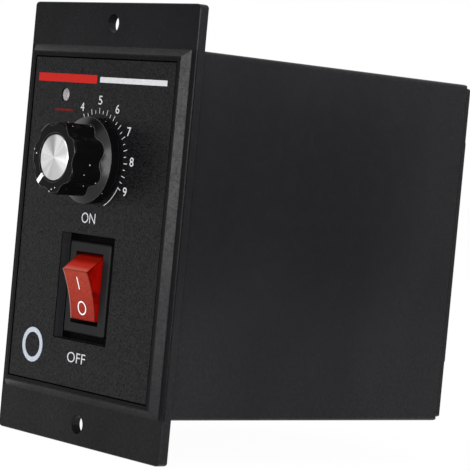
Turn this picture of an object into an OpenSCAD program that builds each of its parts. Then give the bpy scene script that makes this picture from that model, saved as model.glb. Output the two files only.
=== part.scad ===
// Panel-mounted motor speed controller with a dial knob and a rocker switch.
// X is width, -Y is the front that the operator faces, Z is up, in millimetres.
// The origin is the centre of the flange's rear face, midway between the screw holes.

/* [Front panel] */
// Width of the front panel
panel_w = 65; // [62:0.5:72]
// Height of the screw ear above and below the body
ear_h = 10.4; // [9:0.1:14]
// Distance from the body's end to the centre of each panel screw hole
hole_offset = 5.4; // [4:0.1:6.5]
// Diameter of the panel screw holes
hole_d = 4.5; // [3:0.1:5]
// Thickness of the flange
flange_t = 2.5; // [2:0.1:3.5]
// Corner radius of the flange
flange_r = 1.5; // [1:0.1:3]
// Chamfer round the edges of the flange
flange_chamfer = 0.2; // [0.2:0.1:0.6]
// How far the bezel stands out from the flange
bezel_rise = 1.7; // [1.2:0.1:2.5]
// Width of the bezel's slope, seen from the front
bezel_slope = 1.7; // [1:0.1:2.5]
// Margin between the flange's side and the bezel
bezel_side = 1.7; // [1:0.1:3]
// Margin between the flange's end and the bezel
bezel_end = 10.4; // [9:0.1:14]
// Width of the flat rim between the slope and the label
label_rim = 1.3; // [0.8:0.1:3]
// Thickness of the label plate
label_t = 0.3; // [0.2:0.05:0.6]

/* [Body] */
// Height of the body behind the panel
body_h = 84.2; // [82:0.2:96]
// Depth of the body behind the panel
body_depth = 85.3; // [84:0.5:110]
// Distance from the flange's side to the body's side
body_inset = 0.8; // [0.4:0.1:1.5]
// Corner radius of the body
body_r = 1.2; // [0.8:0.1:2]
// Wall thickness of the body
wall = 2.2; // [1.8:0.1:2.8]
// Thickness of the wall behind the label
front_wall = 2.2; // [1.8:0.1:2.6]
// Distance from the body's outline to the rear cover's outline
cover_inset = 0.8; // [0.5:0.1:1.4]
// Thickness of the rear cover
cover_t = 1.7; // [1.4:0.1:2.4]
// Width of the rear cover's raised middle
pad_w = 51.6; // [44:0.2:52]
// Height of the rear cover's raised middle
pad_h = 56.4; // [54.6:0.1:60]
// How far the raised middle stands out
pad_rise = 5.3; // [3:0.1:7]

/* [Dial and knob] */
// Height of the dial's centre above the panel's centre, as a share of the body's height
dial_share = 0.178; // [0.16:0.001:0.2]
// Where the knob's pointer rests, clockwise from the top
pointer_rest = -137; // [-150:1:150]
// Diameter of the knob's skirt
skirt_d = 20.4; // [18.5:0.1:24]
// Diameter over the knob's lobes
knob_d = 17.2; // [16.8:0.1:18.2]
// Diameter at the bottom of the knob's flutes
flute_d = 15; // [14.8:0.1:15.6]
// Number of lobes round the knob
lobes = 7; // [6:1:8]
// Radius of the crown of each lobe
lobe_r = 3; // [2.7:0.1:3.2]
// Height of the knob from its skirt's rear to its face
knob_h = 11.4; // [11.2:0.1:15]
// Diameter of the spun metal cap
cap_d = 10.8; // [9:0.1:11.4]
// Diameter of the potentiometer's shaft
shaft_d = 6; // [5:0.1:6.4]
// Outer diameter of the potentiometer's threaded bush
bush_d = 7.6; // [7.2:0.1:8.4]
// Diameter of the potentiometer's case
pot_d = 16.5; // [16:0.1:20]

/* [Rocker switch] */
// How far the switch's centre lies below the panel's centre, as a share of the body's height
switch_share = 0.1805; // [0.173:0.0005:0.195]
// Width of the well round the switch
well_w = 21.2; // [20:0.1:24]
// Height of the well round the switch
well_h = 25.4; // [24:0.1:28]
// Depth of the well below the label
well_depth = 2.6; // [2.2:0.1:3.2]
// Width of the switch's frame
frame_w = 16; // [16:0.1:18]
// Height of the switch's frame
frame_h = 21.8; // [21.4:0.1:23]
// Thickness of the switch's frame
frame_t = 1.7; // [1.4:0.1:1.9]
// Width of the rocker where it enters the frame
rocker_w = 10.3; // [9.6:0.1:10.6]
// Distance between the rocker's two ridges
rocker_span = 12.2; // [11.6:0.1:12.6]
// Distance from the pivot to the line through the ridges
rocker_rise = 5.64; // [5.2:0.02:5.8]
// Hollow of the rocker's face between its ridges
rocker_hollow = 0.55; // [0.3:0.05:0.8]
// Radius of the rocker's lower skirt round its pivot
rocker_swing = 8.2; // [8:0.05:8.3]
// Tilt of the rocker to each side of its middle position
rocker_tilt = 17; // [12:0.5:17]

/* [Signal lamp] */
// Distance of the lamp's centre to the left of the middle, as a share of the panel's width
lamp_side_share = 0.222; // [0.212:0.001:0.24]
// Height of the lamp's centre above the panel's centre, as a share of the body's height
lamp_share = 0.3575; // [0.352:0.0005:0.367]
// Diameter of the lamp
led_d = 3.1; // [2.9:0.1:3.4]

/* [Terminals] */
// Number of ways in the terminal block
ways = 6; // [4:1:6]
// Distance between two ways
way_pitch = 8.25; // [7.5:0.05:8.25]
// Width of the terminal block
block_w = 16.4; // [14:0.1:17]
// Depth of the terminal block
block_depth = 17; // [14:0.5:20]
// Height of the barriers between the ways
barrier_h = 6.5; // [5:0.1:7]
// Thickness of each barrier
barrier_t = 1.2; // [1:0.1:1.6]
// Diameter of the terminal screws' heads
terminal_head_d = 6; // [5:0.1:6.2]

/* [Inside] */
// Thickness of the main circuit board
board_t = 1.6; // [1.2:0.1:2]
// Number of fins on the heat sink
fins = 7; // [4:1:9]
// Height of the heat sink's fins
fin_h = 11; // [6:0.5:12]

/* [Hidden] */
$fn = 48;
// Segments of the large, shallow curves
fine_fn = 96;
// Sides of a hexagon
hex_sides = 6;

// Overrun of every cut past the face it opens
over = 0.5;
// Gap between two fixed pieces that lie beside each other
seat_gap = 0.2;
// Gap between a moving piece and what it passes
move_gap = 0.3;
// Radial clearance of a running fit
run_gap = 0.05;
// Radial clearance of a piece set in another of the same body
set_gap = 0.03;

panel_h = body_h + 2 * ear_h;
dial_z = dial_share * body_h;
switch_drop = switch_share * body_h;
led_x = lamp_side_share * panel_w;
led_z = lamp_share * body_h;
body_w = panel_w - 2 * body_inset;
hole_z = body_h / 2 + hole_offset;
front = flange_t + bezel_rise;
bezel_w = panel_w - 2 * bezel_side;
bezel_h = panel_h - 2 * bezel_end;
face_w = bezel_w - 2 * bezel_slope;
face_h = bezel_h - 2 * bezel_slope;
label_w = face_w - 2 * label_rim;
label_h = face_h - 2 * label_rim;
label_r = body_r / 4;
// Gap between the label plate and the rim round it
label_gap = 0.2;
// How far the label lies below the rim of the bezel
label_sink = 0.1;
label_front = front - label_sink;
label_back = label_front - label_t;
wall_back = front - front_wall;
cavity_w = body_w - 2 * wall;
cavity_h = body_h - 2 * wall;
cavity_r = body_r;
body_chamfer = body_r / 2;

// Screw bosses of the rear cover
boss_d = 6.6;
boss_l = 16;
boss_in = 2.8;
boss_x = cavity_w / 2 - boss_in;
boss_z = cavity_h / 2 - boss_in;
pilot_d = 2.5;
pilot_l = 13;
// Left of the middle, the main board's right side, clear of the bosses
board_room = 1.3;
board_x = boss_x - boss_d / 2 - board_t - board_room;
// Rails for the main board
rail_t = 1.5;
rail_h = 2.4;
rail_y0 = 14;
rail_back = 8;

cover_w = body_w - 2 * cover_inset;
cover_h = body_h - 2 * cover_inset;
cover_chamfer = 0.3;
lip_t = 1.5;
lip_l = 3;
pad_back = body_depth + cover_t + pad_rise;
screw_hole_d = 3.3;
cover_screw_head_d = 5.4;
cover_screw_head_t = 1.5;
cover_screw_l = 10;
screw_core_d = 2.4;
cover_screw_sink = 0.1;
// Half width of a cross recess as a share of the head
cross_share = 0.07;

// Heights on the knob, measured forwards from the flange's rear face
knob_gap = 0.6;
skirt_rim = 2.3;
skirt_cone = 0.8;
// Radius at which the cone ends, inside the flutes
cone_end_in = 0.5;
knob_rear = label_front + knob_gap;
knob_rim = knob_rear + skirt_rim;
knob_front = knob_rear + knob_h;
knob_round = 0.6;
cone_end_r = flute_d / 2 - cone_end_in;
cone_end = knob_rim + (skirt_d / 2 - cone_end_r) * skirt_cone / (skirt_d / 2 - knob_d / 2);
cap_rim = 0.4;
cap_pocket = 0.5;
cap_t = 0.4;
cap_chamfer = 0.15;
pointer_w = 1.1;
pointer_t = 0.4;
pointer_margin = 0.3;
knob_well_d = 13.4;
knob_well = 3.1;
insert_d = 9;
insert_end = 2;
insert_skin = 0.8;
set_screw_d = 3;
set_screw_l = 3.6;
set_screw_flute = 2;

// Potentiometer
nut_af = 10.6;
nut_t = 2;
washer_t = 0.5;
washer_d = 12;
bush_front = 3.1;
bush_plate_t = 1;
pot_wall = 0.7;
pot_depth = 9;
pot_collar_d = 8.6;
pot_collar_t = 1;
wiper_d = 12.4;
wiper_t = 1.2;
wiper_y = 0.6;
wiper_finger_w = 1.6;
wiper_finger_l = 1;
wiper_stub_d = 4;
track_t = 1.6;
track_gap = 1.4;
track_tab_w = 11;
track_tab_l = 4.6;
lug_w = 1.4;
lug_t = 0.5;
lug_l = 6;
lug_pitch = 4;

// Switch, with heights measured forwards from its pivot
switch_floor = label_front - well_depth;
frame_front = switch_floor + frame_t;
pivot_in = 3.2;
pivot_y = pivot_in - frame_front;
well_wall = 1.8;
well_floor_t = 2;
switch_body_wall = 1.5;
switch_body_end = 0.9;
switch_in_w = rocker_w + 2 * move_gap;
switch_in_h = 2 * (rocker_swing + move_gap);
switch_body_w = switch_in_w + 2 * switch_body_wall;
switch_body_h = switch_in_h + 2 * switch_body_end;
switch_body_depth = 11.2;
switch_bottom_t = 1.2;
switch_bottom = switch_floor - switch_body_depth;
barb = 0.6;
barb_l = 2.6;
barb_w = 5;
rocker_knee = 0.54;
rocker_low = 3;
rocker_draft = 0.28;
trunnion_d = 2.2;
trunnion_l = 0.9;
trunnion_x = switch_in_w / 2 + trunnion_l;
plunger_d = 3;
plunger_reach = 6;
plunger_bore = 4;
// Share of the bore that the plunger fills
plunger_seat = 0.35;
spring_wire = 0.35;
spring_turns = 4;
spring_slices = 10;
contact_y = 6.4;
contact_t = 0.5;
contact_l = 12;
contact_w = 4.6;
contact_tilt = 7;
contact_bead_d = 0.8;
button_d = 2;
button_t = 0.5;
blade_w = 4.8;
blade_t = 0.8;
blade_l = 8;
blade_pitch = 6.4;
blade_hole_d = 1.6;

// Signal lamp and its board
led_tip = label_front + 0.15;
led_foot = wall_back - 1.4;
led_flange_d = led_d + 0.8;
led_flange_t = 1;
led_dome = 0.5;
lead_t = 0.5;
lead_pitch = 2.54;
led_board_y = 4;
led_board_w = 22;
led_board_h = 9;
led_board_t = 1.2;
led_boss_d = 4.8;
led_boss_x = 8.4;
led_screw_d = 2;
led_screw_head_d = 4;
led_screw_head_t = 1.4;
led_screw_l = 5;

// Terminal block
block_l = ways * way_pitch + barrier_t;
block_rise = 1.2;
clamp_y = pad_back + block_rise;
block_y0 = clamp_y - block_depth;
block_y1 = clamp_y + barrier_h;
block_x0 = -board_x;
block_back_t = 2;
contact_plate_t = 0.8;
terminal_head_t = 2.4;
terminal_core_d = 3.4;
terminal_core_l = 6;
terminal_x = block_x0 + block_back_t + terminal_head_d / 2 + seat_gap;
block_pin_in = 3;

// Main board, whose parts stand on its right side
board_edge = 0.3;
board_h = cavity_h - 2 * board_edge;
board_y0 = 12;
board_y1 = body_depth - lip_l - seat_gap;
solder_l = board_t + 1;
pin_t = 0.8;
pin_hole_d = 1.2;

// Heat sink, standing on the main board with its fins upwards
sink_z_share = 0.2256;
sink_z = sink_z_share * body_h;
sink_base_t = 3;
sink_y_share = 0.3986;
sink_y0 = sink_y_share * body_depth;
sink_l_share = 0.469;
sink_l = sink_l_share * body_depth;
sink_room = 7;
sink_x1 = cavity_w / 2 - sink_room;
sink_foot = 0.4;
fin_t = 1.4;
// Power transistors under the heat sink, their leads running into the main board
tr_count = 2;
tr_y_share = 0.504;
tr_y0 = tr_y_share * body_depth;
tr_step_share = 0.2462;
tr_step = tr_step_share * body_depth;
tr_w = 10;
tr_body_l = 9.2;
tr_t = 4.4;
tr_tab_l = 6.2;
tr_tab_t = 1.3;
tr_hole_d = 3.6;
tr_lead_l = 7;
tr_lead_drop = 2.6;
tr_lead_pitch = 2.54;
tr_screw_d = 3;
tr_screw_head_d = 5.6;
tr_screw_head_t = 2;
// Bridge rectifier
bridge_y_share = 0.2814;
bridge_y = bridge_y_share * body_depth;
bridge_z_share = 0.1425;
bridge_z = bridge_z_share * body_h;
bridge_w = 22;
bridge_t = 3.6;
bridge_h = 18.6;
bridge_lift = 3;
bridge_pitch = 5.08;
bridge_hole_d = 3.4;
bridge_corner = 3.2;
// Transformer
core_y_share = 0.5393;
core_y0 = core_y_share * body_depth;
core_z_share = 0.285;
core_z = -core_z_share * body_h;
core_w_share = 0.328;
core_w = core_w_share * body_depth;
core_x_l = 23.4;
core_stack = 12;
core_leg = 8;
core_side = 4.7;
core_yoke = 4.7;
core_lift = 1.2;
coil_w_share = 0.273;
coil_w = coil_w_share * body_h;
coil_pin_inset = 2.4;
coil_foot_t = 1.2;
// Electrolytic capacitor
can_d_share = 0.1875;
can_d = can_d_share * body_depth;
can_l = 25;
can_y_share = 0.469;
can_y = can_y_share * body_depth;
can_z_share = 0.0238;
can_z = -can_z_share * body_h;
can_groove = 0.6;
can_groove_l = 2.4;
can_foot = 0.8;
can_score = 0.4;
can_pitch = 7.5;
// Film capacitors
film_count = 2;
film_y_share = 0.7503;
film_y = film_y_share * body_depth;
film_z_share = 0.0356;
film_z0 = -film_z_share * body_h;
film_step_share = 0.1188;
film_step = film_step_share * body_h;
film_l_share = 0.211;
film_l = film_l_share * body_depth;
film_w = 8;
film_h = 14.5;
film_pitch_share = 0.83;
film_pitch = film_pitch_share * film_l;
film_chamfer = 0.5;
// Varistor
disc_d = 11;
disc_t = 4.4;
disc_y_share = 0.605;
disc_y = disc_y_share * body_depth;
disc_z_share = 0.0475;
disc_z = -disc_z_share * body_h;
disc_lift = 3;
disc_pitch = 5;
// Fuse and its clips
fuse_d = 5.2;
fuse_l = 20;
fuse_cap_l = 5.5;
fuse_y_share = 0.3517;
fuse_y = fuse_y_share * body_depth;
fuse_z_share = 0.3325;
fuse_z = -fuse_z_share * body_h;
fuse_lift = 4.6;
fuse_cap_t = 0.25;
fuse_bore_share = 0.7;
clip_t = 0.5;
clip_w = 4.6;
clip_foot = 1.6;
// Control chip
chip_y_share = 0.3751;
chip_y = chip_y_share * body_depth;
chip_z_share = 0.2316;
chip_z = -chip_z_share * body_h;
chip_l = 9.6;
chip_w = 6.2;
chip_t = 3.2;
chip_lift = 0.6;
chip_pitch = 2.54;
chip_rows = 7.62;
chip_pins = 4;
chip_notch_d = 1.6;
chip_notch_t = 0.6;
chip_foot_in = 1.2;
// Row of resistors
res_count = 3;
res_z_share = 0.31;
res_z0 = res_z_share * body_h;
res_step_share = 0.0475;
res_step = res_step_share * body_h;
res_d = 2.4;
res_waist_d = 2;
res_l = 6.2;
res_cap_l = 1.6;
res_pitch_share = 0.1172;
res_pitch = res_pitch_share * body_depth;
// Wire headers
header_y = 13;
header_t = 5;
header_h = 6;
res_y = (header_y + header_t + sink_y0) / 2;
header_pitch = 2.54;
header_margin = 1.4;
pot_header_share = 0.108;
pot_header_z = pot_header_share * body_h;
wire_d = 1.2;
switch_wire_d = 1.8;
bend_swell = 0.12;
sleeve_w = 6;
sleeve_t = 2;
sleeve_l = 5;
wire_bow = 6;
led_wire_x = 5;
lead_out = 3;

tr_x0 = -board_x + tr_lead_l;
tr_tab_x0 = tr_x0 + tr_body_l;
tr_hole_x = tr_tab_x0 + tr_tab_l / 2;
core_y_mid = core_y0 + core_w / 2;
core_x0 = -board_x + core_lift;
core_x1 = core_x0 + core_x_l;
fuse_x = -board_x + fuse_lift;

// Places of the pins in the main board, as [depth, height] for each part
function tr_pins() = [for (i = [0:tr_count - 1], k = [-1:1])
  [tr_y0 + i * tr_step + k * tr_lead_pitch, sink_z - tr_lead_drop]];
function bridge_pins() = [for (k = [-3:2:3]) [bridge_y, bridge_z + k * bridge_pitch / 2]];
function coil_pins() = [for (sy = [-1, 1], sz = [-1, 1])
  [core_y_mid + sy * (core_leg / 2 + coil_pin_inset), core_z + sz * (coil_w / 2 - coil_pin_inset)]];
function can_pins() = [for (k = [-1, 1]) [can_y + k * can_pitch / 2, can_z]];
function film_pins() = [for (i = [0:film_count - 1], k = [-1, 1])
  [film_y + k * film_pitch / 2, film_z0 + i * film_step]];
function disc_pins() = [for (k = [-1, 1]) [disc_y, disc_z + k * disc_pitch / 2]];
function clip_pins() = [for (k = [-1, 1]) [fuse_y + k * (fuse_l - fuse_cap_l) / 2, fuse_z]];
function chip_places() = [for (k = [0:chip_pins - 1], s = [-1, 1])
  [chip_y + (k - (chip_pins - 1) / 2) * chip_pitch, chip_z + s * chip_rows / 2]];
function res_pins() = [for (i = [0:res_count - 1], k = [-1, 1])
  [res_y + k * res_pitch / 2, res_z0 + i * res_step]];
function header_pins(z, n, pitch) = [for (k = [0:n - 1])
  [header_y + header_t / 2, z + (k - (n - 1) / 2) * pitch]];
function pot_pins() = header_pins(pot_header_z, 3, header_pitch);
function led_pins() = header_pins(led_z, 2, header_pitch);
function switch_pins() = header_pins(-switch_drop, 3, blade_pitch);
function block_pins() = [for (i = [0:ways - 1]) [block_y0 + block_pin_in, (i - (ways - 1) / 2) * way_pitch]];

function outline(w, y0, y1, c) = [
  [-w / 2 + c, y0], [w / 2 - c, y0], [w / 2, y0 + c], [w / 2, y1 - c],
  [w / 2 - c, y1], [-w / 2 + c, y1], [-w / 2, y1 - c], [-w / 2, y0 + c]
];

// Plane outline in X and Z, drawn from y0 to y1
module along_y(y0, y1) {
  translate([0, y1, 0]) rotate([90, 0, 0]) linear_extrude(y1 - y0) children();
}

// Plane outline in Y and Z, drawn from x0 to x1
module along_x(x0, x1) {
  translate([x0, 0, 0]) rotate([90, 0, 90]) linear_extrude(x1 - x0) children();
}

// Plane outline in X and Y, drawn from z0 to z1
module along_z(z0, z1) {
  translate([0, 0, z0]) linear_extrude(z1 - z0) children();
}

// Profile of radius and forward height, turned round the Y axis
module turned() {
  rotate([90, 0, 0]) rotate_extrude() children();
}

module round_rect(w, h, r) {
  square([w - 2 * r, h], center = true);
  square([w, h - 2 * r], center = true);
  for (sx = [-1, 1], sz = [-1, 1]) {
    translate([sx * (w / 2 - r), sz * (h / 2 - r)]) circle(r);
  }
}

module slab(w, h, y0, y1, r) {
  along_y(y0, y1) round_rect(w, h, r);
}

// Slab with rounded corners and chamfered edges
module soft_slab(w, h, y0, y1, r, c) {
  intersection() {
    slab(w, h, y0, y1, r);
    along_z(-h / 2, h / 2) polygon(outline(w, y0, y1, c));
    along_x(-w / 2, w / 2) polygon([for (p = outline(h, y0, y1, c)) [p[1], p[0]]]);
  }
}

module block(x0, x1, y0, y1, z0, z1) {
  translate([x0, y0, z0]) cube([x1 - x0, y1 - y0, z1 - z0]);
}

module rod(d, y0, y1) {
  translate([0, y1, 0]) rotate([90, 0, 0]) cylinder(d = d, h = y1 - y0);
}

module rod_x(d, x0, x1) {
  translate([x0, 0, 0]) rotate([0, 90, 0]) cylinder(d = d, h = x1 - x0);
}

// Wire through a list of points, with a slightly thicker ball at each bend
module wire(points, d) {
  for (i = [0:len(points) - 2]) {
    a = points[i];
    v = points[i + 1] - a;
    translate(a) rotate([0, acos(v[2] / norm(v)), atan2(v[1], v[0])]) cylinder(d = d, h = norm(v));
    if (i > 0) translate(a) sphere(d = d + bend_swell);
  }
}

module bezel() {
  y0 = -front;
  y1 = -flange_t + flange_chamfer;
  k = bezel_slope / bezel_rise * flange_chamfer;
  intersection() {
    along_z(-panel_h / 2, panel_h / 2) polygon([
      [-face_w / 2, y0], [face_w / 2, y0], [bezel_w / 2 + k, y1], [-bezel_w / 2 - k, y1]
    ]);
    along_x(-panel_w / 2, panel_w / 2) polygon([
      [y0, -face_h / 2], [y0, face_h / 2], [y1, bezel_h / 2 + k], [y1, -bezel_h / 2 - k]
    ]);
  }
}

module rails() {
  gap = board_t + 2 * seat_gap;
  x1 = -board_x + seat_gap;
  for (sz = [-1, 1], x = [x1, x1 - gap - rail_t]) {
    z = sz * cavity_h / 2;
    block(x, x + rail_t, rail_y0, body_depth - rail_back,
      min(z, z - sz * rail_h) - (sz < 0 ? over : 0), max(z, z - sz * rail_h) + (sz > 0 ? over : 0));
  }
}

module housing() {
  color([0.14, 0.14, 0.15]) difference() {
    union() {
      difference() {
        union() {
          soft_slab(panel_w, panel_h, -flange_t, 0, flange_r, flange_chamfer);
          bezel();
          soft_slab(body_w, body_h, -flange_t / 2, body_depth, body_r, body_chamfer);
        }
        slab(cavity_w, cavity_h, -wall_back, body_depth + over, cavity_r);
      }
      translate([0, 0, -switch_drop]) slab(well_w + 2 * well_wall, well_h + 2 * well_wall,
        -front + front_wall / 2, well_floor_t - switch_floor, label_r);
      for (sx = [-1, 1], sz = [-1, 1]) {
        translate([sx * boss_x, 0, sz * boss_z]) rod(boss_d, body_depth - boss_l, body_depth);
      }
      for (sx = [-1, 1]) {
        translate([sx * led_boss_x - led_x, 0, led_z]) rod(led_boss_d, -wall_back - over, led_board_y);
      }
      rails();
    }
    slab(label_w, label_h, -front - over, -label_back, label_r);
    translate([0, 0, -switch_drop]) slab(well_w, well_h, -front - over, -switch_floor, label_r / 2);
    block(-switch_body_w / 2 - seat_gap, switch_body_w / 2 + seat_gap,
      -switch_floor - over, well_floor_t - switch_floor + over,
      -switch_drop - switch_body_h / 2 - seat_gap, -switch_drop + switch_body_h / 2 + seat_gap);
    translate([0, 0, dial_z]) rod(bush_d + 2 * seat_gap, -front - over, over - wall_back);
    translate([-led_x, 0, led_z]) rod(led_d + seat_gap, -front - over, over - wall_back);
    for (sz = [-1, 1]) translate([0, 0, sz * hole_z]) rod(hole_d, -flange_t - over, over);
    for (sx = [-1, 1], sz = [-1, 1]) {
      translate([sx * boss_x, 0, sz * boss_z]) rod(pilot_d, body_depth - pilot_l, body_depth + over);
    }
    for (sx = [-1, 1]) {
      translate([sx * led_boss_x - led_x, 0, led_z])
        rod(led_screw_d, led_board_y - led_screw_l, led_board_y + over);
    }
  }
}

module label_plate() {
  color([0.13, 0.13, 0.14]) difference() {
    slab(label_w - 2 * label_gap, label_h - 2 * label_gap, -label_front, -label_back, label_r);
    translate([0, 0, -switch_drop]) slab(well_w, well_h, -front, over - label_back, label_r / 2);
    translate([0, 0, dial_z]) rod(bush_d + 2 * seat_gap, -front, over - label_back);
    translate([-led_x, 0, led_z]) rod(led_d + seat_gap, -front, over - label_back);
  }
}

module rear_cover() {
  y0 = body_depth;
  y1 = body_depth + cover_t;
  lip_w = cavity_w - 2 * seat_gap;
  lip_h = cavity_h - 2 * seat_gap;
  color([0.12, 0.12, 0.13]) difference() {
    union() {
      soft_slab(cover_w, cover_h, y0, y1, body_r, cover_chamfer);
      soft_slab(pad_w, pad_h, y0 + cover_chamfer, pad_back, body_r, cover_chamfer);
      difference() {
        slab(lip_w, lip_h, y0 - lip_l, y0 + cover_t / 2, cavity_r);
        slab(lip_w - 2 * lip_t, lip_h - 2 * lip_t, y0 - lip_l - over, y0 + cover_t, cavity_r);
        for (sx = [-1, 1], sz = [-1, 1]) {
          translate([sx * boss_x, 0, sz * boss_z]) rod(boss_d + 2 * seat_gap, y0 - lip_l - over, y0);
        }
      }
    }
    slab(pad_w - 2 * cover_t, pad_h - 2 * cover_t, y0 - over, pad_back - cover_t, cavity_r / 2);
    block(block_x0 - 2 * seat_gap, block_x0 + block_w + 2 * seat_gap, y0 - over, pad_back + over,
      -block_l / 2 - 2 * seat_gap, block_l / 2 + 2 * seat_gap);
    for (sx = [-1, 1], sz = [-1, 1]) {
      translate([sx * boss_x, 0, sz * boss_z]) {
        rod(screw_hole_d, y0 - over, y1 + over);
        translate([0, y1, 0]) sink_cone(cover_screw_head_d + 2 * seat_gap, screw_hole_d, cover_screw_head_t);
      }
    }
  }
}

// Cone of a countersunk head, its face at zero
module sink_cone(d, core_d, t) {
  rotate([90, 0, 0]) cylinder(d1 = d, d2 = core_d, h = t);
}

// Screw with a domed head, its head's seat at y0 and its core pointing forwards
module machine_screw(head_d, head_t, core_d, core_l) {
  difference() {
    union() {
      intersection() {
        rod(head_d, 0, head_t);
        translate([0, head_t - head_d * head_d / 4 / head_t, 0])
          sphere(r = head_d * head_d / 4 / head_t);
      }
      rod(head_d, 0, head_t / 3);
      rod(core_d, -core_l, head_t / 3);
    }
    for (a = [0, 90]) rotate([0, a, 0]) {
      block(-head_d / 4, head_d / 4, head_t / 2, head_t + over, -cross_share * head_d, cross_share * head_d);
    }
  }
}

module cover_screws() {
  d = cover_screw_head_d;
  color([0.7, 0.7, 0.72]) for (sx = [-1, 1], sz = [-1, 1]) {
    translate([sx * boss_x, body_depth + cover_t - cover_screw_sink, sz * boss_z]) difference() {
      union() {
        sink_cone(d, screw_core_d, cover_screw_head_t);
        rod(screw_core_d, -cover_screw_l, -cover_screw_head_t / 2);
      }
      for (a = [0, 90]) rotate([0, a, 0]) {
        block(-d / 4, d / 4, -cover_screw_head_t / 2, over, -cross_share * d, cross_share * d);
      }
    }
  }
}

// The knob's frame has its pointer at the top, and turns to where the pointer rests
module on_dial() {
  translate([0, 0, dial_z]) rotate([0, pointer_rest, 0]) children();
}

// Lobed outline of tangent arcs: a crown of radius lobe_r, and a hollow between crowns
module lobed_outline() {
  step = 180 / lobes;
  crown = knob_d / 2 - lobe_r;
  k = lobe_r - flute_d / 2;
  hollow = (crown * crown - k * k) / (2 * (k + crown * cos(step)));
  difference() {
    union() {
      polygon([for (i = [0:2 * lobes - 1]) (i % 2 == 0 ? crown : hollow) * [sin(i * step), cos(i * step)]]);
      for (i = [0:lobes - 1]) rotate(2 * i * step) translate([0, crown]) circle(lobe_r);
    }
    for (i = [0:lobes - 1]) rotate((2 * i + 1) * step) translate([0, hollow]) circle(hollow - flute_d / 2);
  }
}

// Angle of the set screw from the pointer, in the hollow of a flute
function set_screw_angle() = 3 * 180 / lobes;
set_screw_y = -(knob_rear + knob_well + knob_front) / 2 + cap_pocket;
insert_y0 = -knob_front + insert_end;
insert_y1 = -knob_rear - knob_well;

module knob() {
  e = knob_round;
  top = knob_front;
  color([0.05, 0.05, 0.06]) on_dial() difference() {
    union() {
      turned() polygon([
        [0, knob_rear], [skirt_d / 2, knob_rear], [skirt_d / 2, knob_rim],
        [cone_end_r, cone_end], [0, cone_end]
      ]);
      intersection() {
        along_y(-top, -knob_rim) lobed_outline();
        turned() {
          translate([0, knob_rear]) square([knob_d / 2 - e, top - knob_rear]);
          translate([0, knob_rear]) square([knob_d / 2 + set_gap, top - e - knob_rear]);
          translate([knob_d / 2 - e, top - e]) circle(e);
        }
      }
    }
    rod(cap_d + 2 * cap_rim, -top - over, -top + cap_pocket);
    block(-pointer_w / 2 - set_gap, pointer_w / 2 + set_gap, -top - over, -top + pointer_t,
      cap_d / 2, knob_d / 2 - pointer_margin);
    rod(knob_well_d, -knob_rear - knob_well, over - knob_rear);
    rod(insert_d + 2 * set_gap, insert_y0 - set_gap, over - knob_rear);
    rotate([0, set_screw_angle(), 0]) translate([0, set_screw_y, shaft_d / 2])
      cylinder(d = set_screw_d + 2 * seat_gap, h = knob_d);
  }
}

module knob_cap() {
  y0 = knob_front - cap_pocket;
  y1 = y0 + cap_t;
  color([0.85, 0.85, 0.86]) on_dial() turned() polygon([
    [0, y0], [cap_d / 2, y0], [cap_d / 2, y1 - cap_chamfer], [cap_d / 2 - cap_chamfer, y1], [0, y1]
  ]);
}

module knob_pointer() {
  color("white") on_dial() block(-pointer_w / 2, pointer_w / 2, -knob_front, pointer_t - knob_front,
    cap_d / 2 + cap_rim, knob_d / 2 - pointer_margin - set_gap);
}

module knob_insert() {
  color([0.8, 0.65, 0.3]) on_dial() difference() {
    rod(insert_d, insert_y0, insert_y1);
    rod(shaft_d + 2 * set_gap, insert_y0 + insert_skin, insert_y1 + over);
    rotate([0, set_screw_angle(), 0]) translate([0, set_screw_y, 0])
      cylinder(d = set_screw_d + 2 * set_gap, h = insert_d);
  }
}

module knob_set_screw() {
  color([0.4, 0.4, 0.42]) on_dial() rotate([0, set_screw_angle(), 0])
    translate([0, set_screw_y, shaft_d / 2 + set_gap]) difference() {
      cylinder(d = set_screw_d, h = set_screw_l);
      translate([0, 0, set_screw_l - set_screw_flute / 2])
        cylinder(d = set_screw_flute, h = set_screw_l, $fn = hex_sides);
    }
}

module pot_shaft() {
  y1 = bush_plate_t - wall_back + seat_gap;
  y2 = y1 + pot_collar_t;
  color([0.75, 0.75, 0.77]) on_dial() union() {
    rod(shaft_d, insert_y0 + insert_skin + set_gap, y2);
    rod(pot_collar_d, y1, y2);
    rod(wiper_stub_d, y1, y2 + wiper_y + wiper_t);
  }
}

module pot_wiper() {
  y0 = bush_plate_t - wall_back + seat_gap + pot_collar_t + wiper_y;
  color([0.72, 0.55, 0.3]) on_dial() union() {
    difference() {
      rod(wiper_d, y0, y0 + wiper_t);
      rod(wiper_stub_d, y0 - over, y0 + wiper_t + over);
    }
    block(-wiper_finger_w / 2, wiper_finger_w / 2, y0 + wiper_t / 2, y0 + wiper_t + wiper_finger_l,
      wiper_stub_d / 2 + wiper_finger_w, wiper_d / 2 - wiper_finger_w / 2);
  }
}

module pot_bush() {
  color([0.7, 0.7, 0.72]) translate([0, 0, dial_z]) difference() {
    union() {
      rod(bush_d, -label_front - bush_front, bush_plate_t - wall_back);
      rod(pot_d, -wall_back, bush_plate_t - wall_back);
    }
    rod(shaft_d + 2 * run_gap, -label_front - bush_front - over, bush_plate_t - wall_back + over);
  }
}

module pot_washer() {
  color([0.75, 0.75, 0.77]) translate([0, 0, dial_z]) difference() {
    rod(washer_d, -label_front - washer_t, -label_front);
    rod(bush_d + 2 * set_gap, -front - washer_t - over, over);
  }
}

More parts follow.
